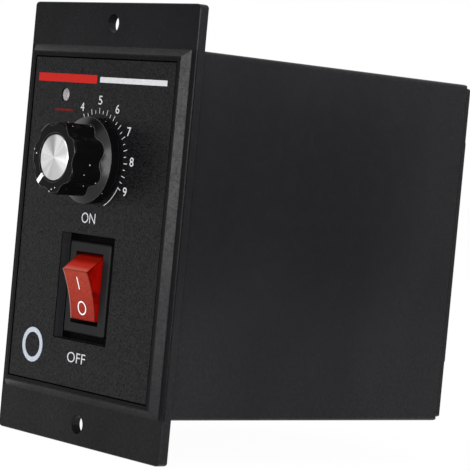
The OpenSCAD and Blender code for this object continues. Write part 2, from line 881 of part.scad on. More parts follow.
module pot_nut() {
  y1 = -label_front - washer_t;
  color([0.7, 0.7, 0.72]) translate([0, 0, dial_z]) difference() {
    translate([0, y1, 0]) rotate([90, 0, 0])
      cylinder(d = nut_af / cos(180 / hex_sides), h = nut_t, $fn = hex_sides);
    rod(bush_d + 2 * set_gap, y1 - nut_t - over, y1 + over);
  }
}

pot_y0 = bush_plate_t - wall_back;
pot_y1 = pot_y0 + pot_depth;
track_y0 = pot_y0 + seat_gap + pot_collar_t + wiper_y + wiper_t + track_gap;

module pot_case() {
  color([0.6, 0.6, 0.62]) translate([0, 0, dial_z]) difference() {
    rod(pot_d, pot_y0, pot_y1);
    rod(pot_d - 2 * pot_wall, pot_y0 - over, pot_y1 - pot_wall);
    block(-track_tab_w / 2 - seat_gap, track_tab_w / 2 + seat_gap, track_y0 - seat_gap,
      track_y0 + track_t + seat_gap, -pot_d, -pot_d / 4);
  }
}

module pot_track() {
  z1 = -pot_d / 2 - track_tab_l / 2;
  color([0.45, 0.25, 0.12]) translate([0, 0, dial_z]) union() {
    rod(pot_d - 2 * pot_wall - 2 * set_gap, track_y0, track_y0 + track_t);
    block(-track_tab_w / 2, track_tab_w / 2, track_y0, track_y0 + track_t, z1, -pot_d / 4);
    for (i = [-1:1]) {
      block(i * lug_pitch - lug_w / 2, i * lug_pitch + lug_w / 2,
        track_y0 + (track_t - lug_t) / 2, track_y0 + (track_t + lug_t) / 2, z1 - lug_l / 2, z1 + lug_l / 4);
    }
  }
}

// The switch's frame of reference is its pivot, with forwards to the operator
module at_pivot() {
  translate([0, pivot_y, -switch_drop]) children();
}

module switch_frame() {
  y_floor = -switch_floor;
  color([0.1, 0.1, 0.11]) translate([0, 0, -switch_drop]) difference() {
    union() {
      soft_slab(frame_w, frame_h, -frame_front, y_floor, body_r / 2, cover_chamfer);
      block(-switch_body_w / 2, switch_body_w / 2, y_floor - frame_t / 2, -switch_bottom,
        -switch_body_h / 2, switch_body_h / 2);
      for (sz = [-1, 1]) {
        y0 = y_floor + well_floor_t + seat_gap;
        z = sz * switch_body_h / 2;
        along_x(-barb_w / 2, barb_w / 2) polygon([
          [y0, z - sz * over], [y0, z + sz * barb], [y0 + barb_l, z], [y0 + barb_l, z - sz * over]
        ]);
      }
    }
    block(-switch_in_w / 2, switch_in_w / 2, -frame_front - over, -switch_bottom - switch_bottom_t,
      -switch_in_h / 2, switch_in_h / 2);
    translate([0, pivot_y, 0]) rod_x(trunnion_d + 2 * run_gap, -trunnion_x - seat_gap, trunnion_x + seat_gap);
    for (z = [-blade_pitch, 0, blade_pitch]) {
      block(-blade_w / 2 - set_gap, blade_w / 2 + set_gap, 0, over - switch_bottom,
        z - blade_t / 2 - set_gap, z + blade_t / 2 + set_gap);
    }
  }
}

// Side outline of the rocker in its middle position, as depth and height from the pivot
module rocker_outline() {
  half = rocker_span / 2;
  knee_z = sqrt(rocker_swing * rocker_swing - rocker_knee * rocker_knee);
  arc_r = (half * half + rocker_hollow * rocker_hollow) / 2 / rocker_hollow;
  intersection() {
    union() {
      difference() {
        polygon([
          [-rocker_rise, -half], [-rocker_rise, half], [-rocker_knee, knee_z], [-rocker_knee, -knee_z]
        ]);
        translate([rocker_hollow - rocker_rise - arc_r, 0]) circle(arc_r, $fn = fine_fn);
      }
      intersection() {
        circle(rocker_swing);
        translate([-rocker_knee, -rocker_swing]) square([rocker_knee + rocker_low, 2 * rocker_swing]);
      }
    }
    translate([-rocker_rise, -rocker_swing]) square([rocker_rise + rocker_low, 2 * rocker_swing]);
  }
}

module rocker() {
  half = rocker_w / 2;
  tip = half - rocker_draft;
  color([0.85, 0.1, 0.08]) at_pivot() rotate([rocker_tilt, 0, 0]) difference() {
    union() {
      intersection() {
        along_x(-half, half) rocker_outline();
        along_z(-rocker_swing - over, rocker_swing + over) polygon([
          [-tip, -rocker_rise - over], [tip, -rocker_rise - over], [half, -rocker_knee],
          [half, rocker_low + over], [-half, rocker_low + over], [-half, -rocker_knee]
        ]);
      }
      rod_x(trunnion_d, -trunnion_x, trunnion_x);
    }
    rod(plunger_d + 2 * set_gap, rocker_low - plunger_bore, rocker_low + over);
  }
}

module rocker_plunger() {
  tip = plunger_d / 2;
  color([0.9, 0.9, 0.88]) at_pivot() rotate([rocker_tilt, 0, 0]) union() {
    rod(plunger_d, rocker_low - plunger_seat * plunger_bore, plunger_reach - tip);
    translate([0, plunger_reach - tip, 0]) sphere(d = plunger_d);
  }
}

// Coil between the rocker and its plunger, wound from a wire of square section
module rocker_spring() {
  r = plunger_d / 2 - set_gap;
  l = plunger_bore * (1 - plunger_seat);
  arc = 360 * spring_wire * spring_turns / l;
  steps = 3;
  color([0.75, 0.75, 0.78]) at_pivot() rotate([rocker_tilt, 0, 0])
    translate([0, rocker_low - plunger_seat * plunger_bore, 0]) rotate([90, 0, 0])
      linear_extrude(l, twist = 360 * spring_turns, slices = spring_slices * spring_turns) polygon([
        for (i = [0:steps]) r * [cos(arc * i / steps), sin(arc * i / steps)],
        for (i = [steps:-1:0]) (r - spring_wire) * [cos(arc * i / steps), sin(arc * i / steps)]
      ]);
}

contact_pivot = contact_y + contact_t;

module switch_contact() {
  color([0.8, 0.6, 0.35]) at_pivot() translate([0, contact_pivot, 0]) rotate([-contact_tilt, 0, 0]) union() {
    block(-contact_w / 2, contact_w / 2, -contact_t, 0, -contact_l / 2, contact_l / 2);
    rod_x(contact_bead_d, -contact_w / 2, contact_w / 2);
    for (sz = [-1, 1]) {
      translate([0, 0, sz * (contact_l - button_d) / 2]) rod(button_d, -contact_t / 2, button_t);
    }
  }
}

module switch_terminals() {
  swing = (contact_l - button_d) / 2 * sin(contact_tilt) + button_d / 2 * sin(contact_tilt);
  out = -switch_bottom + blade_l;
  color([0.78, 0.78, 0.76]) translate([0, 0, -switch_drop]) for (i = [-1:1]) {
    z = i * blade_pitch;
    top = pivot_y + contact_pivot + (i == 0 ? contact_bead_d / 2 + run_gap : swing + button_t + move_gap);
    difference() {
      block(-blade_w / 2, blade_w / 2, top, out, z - blade_t / 2, z + blade_t / 2);
      translate([0, out - blade_w / 2, z]) cylinder(d = blade_hole_d, h = 2 * blade_t, center = true);
    }
  }
}

module led() {
  color([0.8, 0.72, 0.72]) translate([-led_x, 0, led_z]) turned() {
    translate([0, led_foot]) square([led_flange_d / 2, led_flange_t]);
    translate([0, led_foot]) square([led_d / 2, led_tip - led_dome - led_foot]);
    intersection() {
      translate([0, led_tip - (led_d * led_d / 4 + led_dome * led_dome) / 2 / led_dome])
        circle((led_d * led_d / 4 + led_dome * led_dome) / 2 / led_dome, $fn = fine_fn);
      translate([0, led_tip - led_dome]) square([led_d / 2, led_dome]);
    }
  }
}

module led_leads() {
  color([0.8, 0.8, 0.8]) translate([-led_x, 0, led_z]) for (sx = [-1, 1]) {
    x = sx * lead_pitch / 2;
    block(x - lead_t / 2, x + lead_t / 2, -led_foot, led_board_y + led_board_t + solder_l / 2,
      -lead_t / 2, lead_t / 2);
  }
}

module led_board() {
  y1 = led_board_y + led_board_t;
  color([0.1, 0.35, 0.18]) translate([-led_x, 0, led_z]) difference() {
    block(-led_board_w / 2, led_board_w / 2, led_board_y, y1, -led_board_h / 2, led_board_h / 2);
    for (sx = [-1, 1]) {
      translate([sx * led_boss_x, 0, 0]) rod(led_screw_d + 2 * seat_gap, led_board_y - over, y1 + over);
      translate([sx * lead_pitch / 2, 0, 0]) rod(lead_t * 2, led_board_y - over, y1 + over);
    }
  }
}

module led_board_screws() {
  color([0.7, 0.7, 0.72]) for (sx = [-1, 1]) {
    translate([sx * led_boss_x - led_x, led_board_y + led_board_t, led_z])
      machine_screw(led_screw_head_d, led_screw_head_t, led_screw_d - 2 * set_gap, led_screw_l);
  }
}

module terminal_block() {
  x1 = block_x0 + block_w;
  color([0.08, 0.08, 0.09]) difference() {
    union() {
      block(block_x0, x1, block_y0, clamp_y, -block_l / 2, block_l / 2);
      block(block_x0, block_x0 + block_back_t, clamp_y - over, block_y1, -block_l / 2, block_l / 2);
      for (i = [0:ways]) {
        z = i * way_pitch - block_l / 2;
        block(block_x0, x1, clamp_y - over, block_y1, z, z + barrier_t);
      }
    }
    for (i = [0:ways - 1]) {
      translate([terminal_x, 0, (i - (ways - 1) / 2) * way_pitch])
        rod(terminal_core_d + 2 * set_gap, clamp_y - terminal_core_l, clamp_y + over);
    }
  }
}

// A plate under each screw, and the pins that leave the block through the main board
module terminal_contacts() {
  z_half = (way_pitch - barrier_t) / 2 - seat_gap;
  color([0.78, 0.76, 0.7]) pins(block_pins(), block_x0);
  color([0.78, 0.76, 0.7]) for (i = [0:ways - 1]) {
    translate([0, 0, (i - (ways - 1) / 2) * way_pitch]) difference() {
      block(block_x0 + block_back_t + seat_gap, block_x0 + block_w - seat_gap,
        clamp_y, clamp_y + contact_plate_t, -z_half, z_half);
      translate([terminal_x, 0, 0])
        rod(terminal_core_d + 2 * set_gap, clamp_y - over, clamp_y + contact_plate_t + over);
    }
  }
}

module terminal_screws() {
  color([0.72, 0.72, 0.74]) for (i = [0:ways - 1]) {
    translate([terminal_x, clamp_y + contact_plate_t, (i - (ways - 1) / 2) * way_pitch])
      machine_screw(terminal_head_d, terminal_head_t, terminal_core_d, terminal_core_l);
  }
}

// Square pins from the solder side of the main board up to x1
module pins(places, x1) {
  for (p = places) {
    block(-board_x - solder_l, x1, p[0] - pin_t / 2, p[0] + pin_t / 2, p[1] - pin_t / 2, p[1] + pin_t / 2);
  }
}

module main_board() {
  color([0.1, 0.35, 0.18]) difference() {
    block(-board_x - board_t, -board_x, board_y0, board_y1, -board_h / 2, board_h / 2);
    for (p = concat(tr_pins(), bridge_pins(), coil_pins(), can_pins(), film_pins(), disc_pins(), clip_pins(),
      chip_places(), res_pins(), pot_pins(), led_pins(), switch_pins(), block_pins())) {
      translate([0, p[0], p[1]]) rod_x(pin_hole_d, -board_x - board_t - over, over - board_x);
    }
  }
}

module at_transistors() {
  for (i = [0:tr_count - 1]) translate([0, tr_y0 + i * tr_step, 0]) children();
}

module heat_sink() {
  x0 = -board_x + sink_foot;
  y1 = sink_y0 + sink_l;
  z1 = sink_z + sink_base_t;
  step = (sink_x1 - x0 - fin_t) / (fins - 1);
  color([0.7, 0.71, 0.73]) difference() {
    union() {
      block(x0, sink_x1, sink_y0, y1, sink_z, z1);
      for (i = [0:fins - 1]) {
        block(x0 + i * step, x0 + i * step + fin_t, sink_y0, y1, z1 - sink_base_t / 2, z1 + fin_h);
      }
    }
    at_transistors() translate([tr_hole_x, 0, sink_z - over])
      cylinder(d = tr_screw_d + 2 * set_gap, h = sink_base_t + 2 * over);
  }
}

module power_transistors() {
  color([0.12, 0.12, 0.12]) at_transistors() difference() {
    union() {
      block(tr_x0, tr_tab_x0, -tr_w / 2, tr_w / 2, sink_z - tr_t, sink_z);
      block(tr_tab_x0 - tr_tab_t, tr_tab_x0 + tr_tab_l, -tr_w / 2, tr_w / 2, sink_z - tr_tab_t, sink_z);
    }
    translate([tr_hole_x, 0, sink_z - tr_t]) cylinder(d = tr_hole_d, h = 2 * tr_t);
  }
  color([0.7, 0.7, 0.7]) pins(tr_pins(), tr_x0 + pin_t);
}

module transistor_screws() {
  color([0.7, 0.7, 0.72]) at_transistors() translate([tr_hole_x, 0, sink_z - tr_tab_t]) rotate([-90, 0, 0])
    machine_screw(tr_screw_head_d, tr_screw_head_t, tr_screw_d, tr_tab_t + sink_base_t);
}

module bridge_rectifier() {
  x0 = -board_x + bridge_lift;
  z0 = bridge_z - bridge_w / 2;
  z1 = bridge_z + bridge_w / 2;
  color([0.1, 0.1, 0.11]) difference() {
    translate([0, bridge_y + bridge_t / 2, 0]) rotate([90, 0, 0]) linear_extrude(bridge_t) polygon([
      [x0, z0], [x0 + bridge_h, z0], [x0 + bridge_h, z1 - bridge_corner],
      [x0 + bridge_h - bridge_corner, z1], [x0, z1]
    ]);
    translate([x0 + bridge_h / 2, 0, bridge_z])
      rod(bridge_hole_d, bridge_y - bridge_t, bridge_y + bridge_t);
  }
  color([0.75, 0.75, 0.75]) pins(bridge_pins(), x0 + pin_t);
}

module transformer_core() {
  half = core_stack / 2;
  color([0.45, 0.45, 0.47]) difference() {
    block(core_x0, core_x1, core_y0, core_y0 + core_w, core_z - half, core_z + half);
    for (side = [0, 1]) {
      y = side == 0 ? core_y0 + core_side : core_y_mid + core_leg / 2;
      block(core_x0 + core_yoke, core_x1 - core_yoke, y, y + core_w / 2 - core_side - core_leg / 2,
        core_z - half - over, core_z + half + over);
    }
  }
}

module transformer_coil() {
  x0 = core_x0 + core_yoke + seat_gap;
  x1 = core_x1 - core_yoke - seat_gap;
  y = core_w / 2 - core_side - seat_gap;
  in = core_stack / 2 + seat_gap;
  color([0.75, 0.6, 0.15]) difference() {
    union() {
      block(x0, x1, core_y_mid - y, core_y_mid + y, core_z - coil_w / 2, core_z + coil_w / 2);
      for (sz = [-1, 1]) {
        z = core_z + sz * (coil_w / 2 + in) / 2;
        block(-board_x, x0 + coil_foot_t, core_y_mid - y, core_y_mid + y,
          z - (coil_w / 2 - in) / 2, z + (coil_w / 2 - in) / 2);
      }
    }
    block(x0 - over, x1 + over, core_y_mid - core_leg / 2 - seat_gap, core_y_mid + core_leg / 2 + seat_gap,
      core_z - in, core_z + in);
  }
  color([0.75, 0.75, 0.75]) pins(coil_pins(), -board_x + pin_t);
}

module electrolytic_capacitor() {
  r = can_d / 2;
  x0 = can_foot;
  x1 = can_foot + can_groove_l;
  color([0.12, 0.14, 0.3]) translate([-board_x, can_y, can_z]) rotate([0, 90, 0]) difference() {
    rotate_extrude() polygon([
      [0, x0], [r, x0], [r, x1 - can_groove], [r - can_groove, x1], [r, x1 + can_groove],
      [r, can_l - can_groove], [r - can_groove, can_l], [0, can_l]
    ]);
    for (a = [0, 90]) rotate(a) {
      translate([-r / 2, -can_score / 2, can_l - can_score]) cube([r, can_score, can_groove]);
    }
  }
  color([0.75, 0.75, 0.75]) pins(can_pins(), -board_x + 2 * can_foot);
}

module film_capacitors() {
  color([0.75, 0.7, 0.55]) for (i = [0:film_count - 1]) {
    translate([-board_x, film_y, film_z0 + i * film_step]) rotate([0, 0, -90])
      soft_slab(film_l, film_w, 0, film_h, film_chamfer, film_chamfer / 2);
  }
  color([0.75, 0.75, 0.75]) pins(film_pins(), -board_x + pin_t);
}

module varistor() {
  x = -board_x + disc_lift + disc_d / 2;
  color([0.1, 0.25, 0.55]) translate([x, disc_y, disc_z]) {
    turned() {
      e = disc_t / 4;
      translate([0, -disc_t / 2]) square([disc_d / 2 - e, disc_t]);
      translate([0, -e]) square([disc_d / 2, 2 * e]);
      for (s = [-1, 1]) translate([disc_d / 2 - e, s * e]) circle(e);
    }
  }
  color([0.75, 0.75, 0.75]) pins(disc_pins(), x - disc_d / 4);
}

module fuse_tube() {
  y0 = fuse_y - fuse_l / 2;
  y1 = fuse_y + fuse_l / 2;
  color([0.85, 0.85, 0.8]) translate([fuse_x, 0, fuse_z]) difference() {
    union() {
      rod(fuse_d - 2 * fuse_cap_t, y0 + fuse_cap_l / 2, y1 - fuse_cap_l / 2);
      rod(fuse_d, y0, y0 + fuse_cap_l);
      rod(fuse_d, y1 - fuse_cap_l, y1);
    }
    rod(fuse_d * fuse_bore_share, y0 + fuse_cap_l, y1 - fuse_cap_l);
  }
}

module fuse_clips() {
  r = fuse_d / 2 + set_gap;
  color([0.8, 0.75, 0.6]) for (p = clip_pins()) {
    translate([0, p[0], p[1]]) difference() {
      union() {
        translate([fuse_x, 0, 0]) rod(2 * (r + clip_t), -clip_w / 2, clip_w / 2);
        block(-board_x, fuse_x, -clip_w / 2, clip_w / 2, -clip_foot, clip_foot);
      }
      translate([fuse_x, 0, 0]) rod(2 * r, -clip_w, clip_w);
      block(fuse_x + r / 2, fuse_x + 2 * r, -clip_w, clip_w, -2 * r, 2 * r);
    }
  }
  color([0.8, 0.75, 0.6]) pins(clip_pins(), -board_x + clip_t);
}

module control_chip() {
  x0 = -board_x + chip_lift;
  color([0.1, 0.1, 0.11]) difference() {
    block(x0, x0 + chip_t, chip_y - chip_l / 2, chip_y + chip_l / 2,
      chip_z - chip_w / 2, chip_z + chip_w / 2);
    translate([0, chip_y - chip_l / 2, chip_z])
      rod_x(chip_notch_d, x0 + chip_t - chip_notch_t, x0 + chip_t + over);
  }
  color([0.75, 0.75, 0.75]) {
    pins(chip_places(), x0 + chip_t / 2);
    for (p = chip_places()) {
      s = p[1] > chip_z ? 1 : -1;
      translate([x0 + chip_t / 2 - pin_t / 2, p[0] - pin_t / 2, min(p[1], p[1] - s * chip_foot_in)])
        cube([pin_t / 2, pin_t, chip_foot_in]);
    }
  }
}

module resistors() {
  x = -board_x + res_d / 2;
  color([0.8, 0.7, 0.5]) for (i = [0:res_count - 1]) {
    translate([x, res_y, res_z0 + i * res_step]) {
      rod(res_waist_d, -res_l / 2, res_l / 2);
      for (s = [-1, 1]) {
        y = s * (res_l - res_cap_l) / 2;
        rod(res_d, y - res_cap_l / 2, y + res_cap_l / 2);
        block(-pin_t / 2, pin_t / 2, min(0, s * (res_pitch + pin_t) / 2), max(0, s * (res_pitch + pin_t) / 2),
          -pin_t / 2, pin_t / 2);
      }
    }
  }
  color([0.75, 0.75, 0.75]) pins(res_pins(), x + pin_t / 2);
}

module wire_header() {
  color([0.85, 0.84, 0.8]) for (places = [pot_pins(), led_pins(), switch_pins()]) {
    last = places[len(places) - 1];
    block(-board_x, -board_x + header_h, header_y, header_y + header_t,
      places[0][1] - header_margin, last[1] + header_margin);
    pins(places, -board_x + pin_t);
  }
}

header_top = -board_x + header_h;

module pot_wires() {
  y0 = track_y0 + (track_t + lug_t) / 2;
  z = dial_z - pot_d / 2 - track_tab_l / 2 - lug_l / 4;
  color([0.8, 0.2, 0.15]) for (i = [0:2]) {
    p = pot_pins()[i];
    x = (i - 1) * lug_pitch;
    wire([[x, y0, z], [x, p[0], z], [x, p[0], p[1]], [header_top, p[0], p[1]]], wire_d);
  }
}

module switch_wires() {
  y0 = -switch_bottom + blade_l;
  y1 = y0 + sleeve_l;
  color([0.15, 0.15, 0.16]) for (i = [0:2]) {
    p = switch_pins()[i];
    z = p[1];
    block(-sleeve_w / 2, sleeve_w / 2, y0, y1, z - sleeve_t / 2, z + sleeve_t / 2);
    wire([[0, y1, z], [0, y1 + lead_out, z], [-wire_bow, y1 + lead_out, z],
      [-wire_bow, p[0], z], [header_top, p[0], z]], switch_wire_d);
  }
}

module led_wires() {
  y0 = led_board_y + led_board_t;
  color([0.85, 0.8, 0.2]) for (p = led_pins()) {
    x = led_wire_x - led_x;
    wire([[x, y0, p[1]], [x, p[0], p[1]], [header_top, p[0], p[1]]], wire_d);
  }
}

housing();
label_plate();
rear_cover();
cover_screws();
knob();
knob_cap();
knob_pointer();
knob_insert();
knob_set_screw();
pot_shaft();
pot_wiper();
pot_bush();
pot_washer();
pot_nut();
pot_case();
pot_track();
switch_frame();
rocker();
rocker_plunger();
rocker_spring();
switch_contact();
switch_terminals();
led();
led_leads();
led_board();
led_board_screws();
terminal_block();
terminal_contacts();
terminal_screws();
main_board();
heat_sink();
power_transistors();
transistor_screws();
bridge_rectifier();
transformer_core();
transformer_coil();
electrolytic_capacitor();
film_capacitors();
varistor();
fuse_tube();
fuse_clips();
control_chip();
resistors();
wire_header();
pot_wires();
switch_wires();
led_wires();
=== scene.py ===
import math

import bmesh
import bpy
from mathutils import Matrix, Vector
from mathutils.bvhtree import BVHTree


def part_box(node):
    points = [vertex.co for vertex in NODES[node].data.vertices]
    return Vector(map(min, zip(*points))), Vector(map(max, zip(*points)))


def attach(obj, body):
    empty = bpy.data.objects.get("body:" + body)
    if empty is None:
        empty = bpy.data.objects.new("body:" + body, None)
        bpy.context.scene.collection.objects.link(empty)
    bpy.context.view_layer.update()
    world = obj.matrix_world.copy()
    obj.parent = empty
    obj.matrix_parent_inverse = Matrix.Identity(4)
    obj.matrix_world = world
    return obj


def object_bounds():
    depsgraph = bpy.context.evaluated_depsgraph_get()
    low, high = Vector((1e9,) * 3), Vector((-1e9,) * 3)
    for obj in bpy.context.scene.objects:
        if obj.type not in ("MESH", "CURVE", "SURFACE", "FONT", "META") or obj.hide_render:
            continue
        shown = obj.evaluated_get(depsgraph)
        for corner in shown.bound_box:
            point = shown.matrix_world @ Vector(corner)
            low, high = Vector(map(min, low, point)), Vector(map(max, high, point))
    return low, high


bl_info = {
    "name": "Motor Speed Controller Dressing",
    "version": (1, 0, 0),
    "blender": (4, 5, 0),
    "location": "View3D > Sidebar > Controller",
    "description": "Finishes and markings of a panel-mounted motor speed controller",
    "category": "Object",
}

MM = 0.001
QUARTER_TURN = math.pi / 2
FULL_TURN = 2 * math.pi
FORWARDS = (0, -1, 0)
RIGHT = (1, 0, 0)
UP = (0, 0, 1)
DOWN = (0, 0, -1)
WHITE = (1, 1, 1)

# Printing stands this far out of its surface and reaches this far into it.
INK = 0.03 * MM
INK_SUNK = 0.02 * MM
INK_THICK = INK + INK_SUNK
INK_MIDDLE = (INK_SUNK - INK) / 2

# Steps in which the printing's curves, and the marks on the rocker, are drawn.
LETTER_STEPS = 6
END_ARC_STEPS = 18
RING_STEPS = 72
MARK_RING_STEPS = 64
MARK_LINE_STEPS = 10

# Noise seldom leaves this range, so what varies with it does so from end to end.
NOISE_LOW = 0.3
NOISE_HIGH = 0.7

# A rim starts and is full where its rounded normal leaves the flat one by these cosines.
RIM_START = 0.99
RIM_FULL = 0.85

# Rays by which a material finds how near an edge is.
EDGE_SAMPLES = 4

# Places of the share and the two colours among a Mix node's inputs, and of the colour it gives.
MIX_INPUTS = (0, 6, 7)
MIX_OUTPUT = 2

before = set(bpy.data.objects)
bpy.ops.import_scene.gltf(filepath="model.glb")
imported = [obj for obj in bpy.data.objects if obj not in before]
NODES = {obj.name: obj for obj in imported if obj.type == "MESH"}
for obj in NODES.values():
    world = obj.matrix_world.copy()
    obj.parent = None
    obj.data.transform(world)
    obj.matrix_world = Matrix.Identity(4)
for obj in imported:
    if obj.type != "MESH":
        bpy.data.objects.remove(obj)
CAD_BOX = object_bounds()
CASE = "case"
ROCKER = "rocker_body"

LABEL_LOW, LABEL_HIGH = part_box("label_plate")
LABEL_FACE = LABEL_LOW.y
KNOB_LOW, KNOB_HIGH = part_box("knob")
DIAL_X = (KNOB_LOW.x + KNOB_HIGH.x) / 2
DIAL_Z = (KNOB_LOW.z + KNOB_HIGH.z) / 2


def length_setting(name, description, millimetres):
    """Property that holds a length, its default given in millimetres."""
    return bpy.props.FloatProperty(
        name=name, description=description, default=millimetres * MM, unit="LENGTH")


def angle_setting(name, description, degrees):
    """Property that holds an angle, its default given in degrees."""
    return bpy.props.FloatProperty(
        name=name, description=description, default=math.radians(degrees), subtype="ANGLE")


def number_setting(name, description, default):
    """Property that holds a number without a unit."""
    return bpy.props.FloatProperty(name=name, description=description, default=default)


def colour_setting(name, description, red, green, blue):
    """Property that holds a colour."""
    return bpy.props.FloatVectorProperty(
        name=name, description=description, default=(red, green, blue), subtype="COLOR", size=3)


class ControllerSizes(bpy.types.PropertyGroup):
    """Sizes and places of the printing, and sizes that finishes share"""

    number_radius: length_setting("Number radius", "Distance of the numbers from the dial's centre", 14.2)
    number_height: length_setting("Number height", "Height of the numbers round the dial", 2.1)
    number_width: length_setting("Number width", "Width of one number", 1.45)
    number_lift: length_setting("Number lift", "How far the numbers are raised", 0.12)
    number_weight: number_setting("Number weight", "How much bolder the numbers are, in heights", 0.004)
    tick_inner: length_setting("Tick start", "Distance of the ticks' inner ends from the centre", 11.15)
    tick_outer: length_setting("Long tick end", "Distance of the long ticks' ends from the centre", 12.5)
    tick_short: length_setting("Short tick end", "Distance of the short ticks' ends from the centre", 11.95)
    tick_width: length_setting("Tick width", "Width of one tick", 0.17)
    word_height: length_setting("Word height", "Height of the words above and below the switch", 2.45)
    word_weight: number_setting("Word weight", "How much bolder the words are, in heights", -0.004)
    word_above: length_setting("Upper word", "Height of the upper word's middle", 1.4)
    word_below: length_setting("Lower word", "Height of the lower word's middle", -31.8)
    stripe_bold: length_setting("Red stripe", "Height of the red stripe at the top of the label", 2.0)
    stripe_fine: length_setting("White stripe", "Height of the white stripe beside it", 1.3)
    stripe_z: length_setting("Stripe place", "Height of the stripes' middle", 34.1)
    mark_stroke: length_setting("Mark stroke", "Stroke of the two marks on the rocker", 0.32)
    well_width: length_setting("Well width", "Width of the shaded floor round the switch", 21.0)
    well_height: length_setting("Well height", "Height of the shaded floor round the switch", 25.2)
    edge_round: length_setting("Edge rounding", "Radius at which moulded edges catch the light", 0.18)


class ControllerColours(bpy.types.PropertyGroup):
    """Colours of the pieces that show and of the printing"""

    case: colour_setting("Case", "Black plastic of the case", 0.0064, 0.0064, 0.0072)
    label: colour_setting("Label", "Black of the label plate", 0.0072, 0.0072, 0.008)
    knob: colour_setting("Knob", "Black of the knob", 0.0036, 0.0036, 0.004)
    # This grey is a painted highlight: a thin light outline painted on the knob's edges.
    knob_edge: colour_setting("Knob edge", "Grey of the knob's worn edges", 0.1, 0.1, 0.1)
    dust: colour_setting("Dust", "Pale grey of specks of dust", 0.6, 0.6, 0.6)
    rocker: colour_setting("Rocker", "Clear red of the rocker's sides", 0.4, 0.0036, 0.0008)
    # The end's orange is painted light, a lit copy of the rocker's clear red.
    rocker_top: colour_setting("Rocker end", "Orange red of the rocker's lit end", 0.46, 0.011, 0.001)
    rocker_front: colour_setting("Rocker front", "Paler red of the rocker's frosted face", 0.42, 0.062, 0.034)
    rocker_foot: colour_setting("Rocker foot", "Deeper red of that face's lower end", 0.26, 0.02, 0.011)
    # This greyish pink is a painted highlight along the face's left edge.
    rocker_edge: colour_setting("Rocker edge", "Greyish pink of the rocker's left edge", 0.27, 0.12, 0.105)
    ink: colour_setting("White ink", "White of the pointer and of the marks on the rocker", 0.86, 0.86, 0.88)
    label_ink: colour_setting("Label ink", "Duller white of the printing on the label", 0.5, 0.5, 0.52)
    red_ink: colour_setting("Red ink", "Red of the printed stripe", 0.38, 0.01, 0.006)
    ring_ink: colour_setting("Ring ink", "Bluish white of the printed ring", 0.42, 0.46, 0.53)
    lamp: colour_setting("Lamp", "Pale diffused plastic of the signal lamp", 0.33, 0.3, 0.32)


class ControllerView(bpy.types.PropertyGroup):
    """Place and lens of the camera"""

    turn: angle_setting("Turn", "Angle of the view round the object, from the front to its right", 50.292)
    rise: angle_setting("Rise", "Angle of the view above the level", 2.001)
    lean: angle_setting("Lean", "Angle by which the camera is turned about its view", 5.302)
    aim_x: length_setting("Aim across", "Place that the view passes through, to the right", 47.387)
    aim_z: length_setting("Aim height", "Place that the view passes through, upwards", 1.079)
    distance: length_setting("Distance", "Distance of the camera from the place it aims at", 513.722)
    focal: number_setting("Focal length", "Focal length in widths of the picture", 4.9475)
    shift_x: number_setting("Shift across", "Shift of the picture in widths", 0.00906)
    shift_y: number_setting("Shift up", "Shift of the picture in widths", 0.00603)
    nearest: length_setting("Nearest", "Distance from the camera at which things begin to show", 10)


def settings():
    """The scene's sizes, colours and view."""
    scene = bpy.context.scene
    return scene.controller_sizes, scene.controller_colours, scene.controller_view


class Nodes:
    """A node tree, with short ways to add nodes and link them."""

    def __init__(self, tree):
        self.tree = tree

    def feed(self, socket, value):
        """Gives a socket the output of a node, or a number, a vector or a colour."""
        if isinstance(value, bpy.types.NodeSocket):
            self.tree.links.new(value, socket)
        elif socket.type == "RGBA":
            socket.default_value = (*value, 1)
        else:
            socket.default_value = value

    def node(self, kind, **values):
        """Adds a node. A name with a capital is one of its inputs, any other a setting of its own."""
        made = self.tree.nodes.new(kind)
        for name, value in values.items():
            if name[0].isupper():
                self.feed(made.inputs[name.replace("_", " ")], value)
            else:
                setattr(made, name, value)
        return made

    def maths(self, operation, *values):
        """Result of a Math node, each of its inputs a number or the output of a node."""
        made = self.node("ShaderNodeMath", operation=operation)
        for socket, value in zip(made.inputs, values):
            self.feed(socket, value)
        return made.outputs["Value"]

    def shown_white(self):
        """1 for the camera and for what glossy and clear surfaces show, 0 for light on matt ones."""
        seen = self.node("ShaderNodeLightPath").outputs
        either = self.maths("MAXIMUM", seen["Is Camera Ray"], seen["Is Glossy Ray"])
        return self.maths("MAXIMUM", either, seen["Is Transmission Ray"])

    def surface(self, output, share, first, second):
        """Mixes two shaders by a share, from all of the first to all of the second, on an output node."""
        mix = self.node("ShaderNodeMixShader")
        for socket, value in zip(mix.inputs, (share, first.outputs[0], second.outputs[0])):
            self.feed(socket, value)
        self.feed(self.tree.nodes[output].inputs["Surface"], mix.outputs[0])


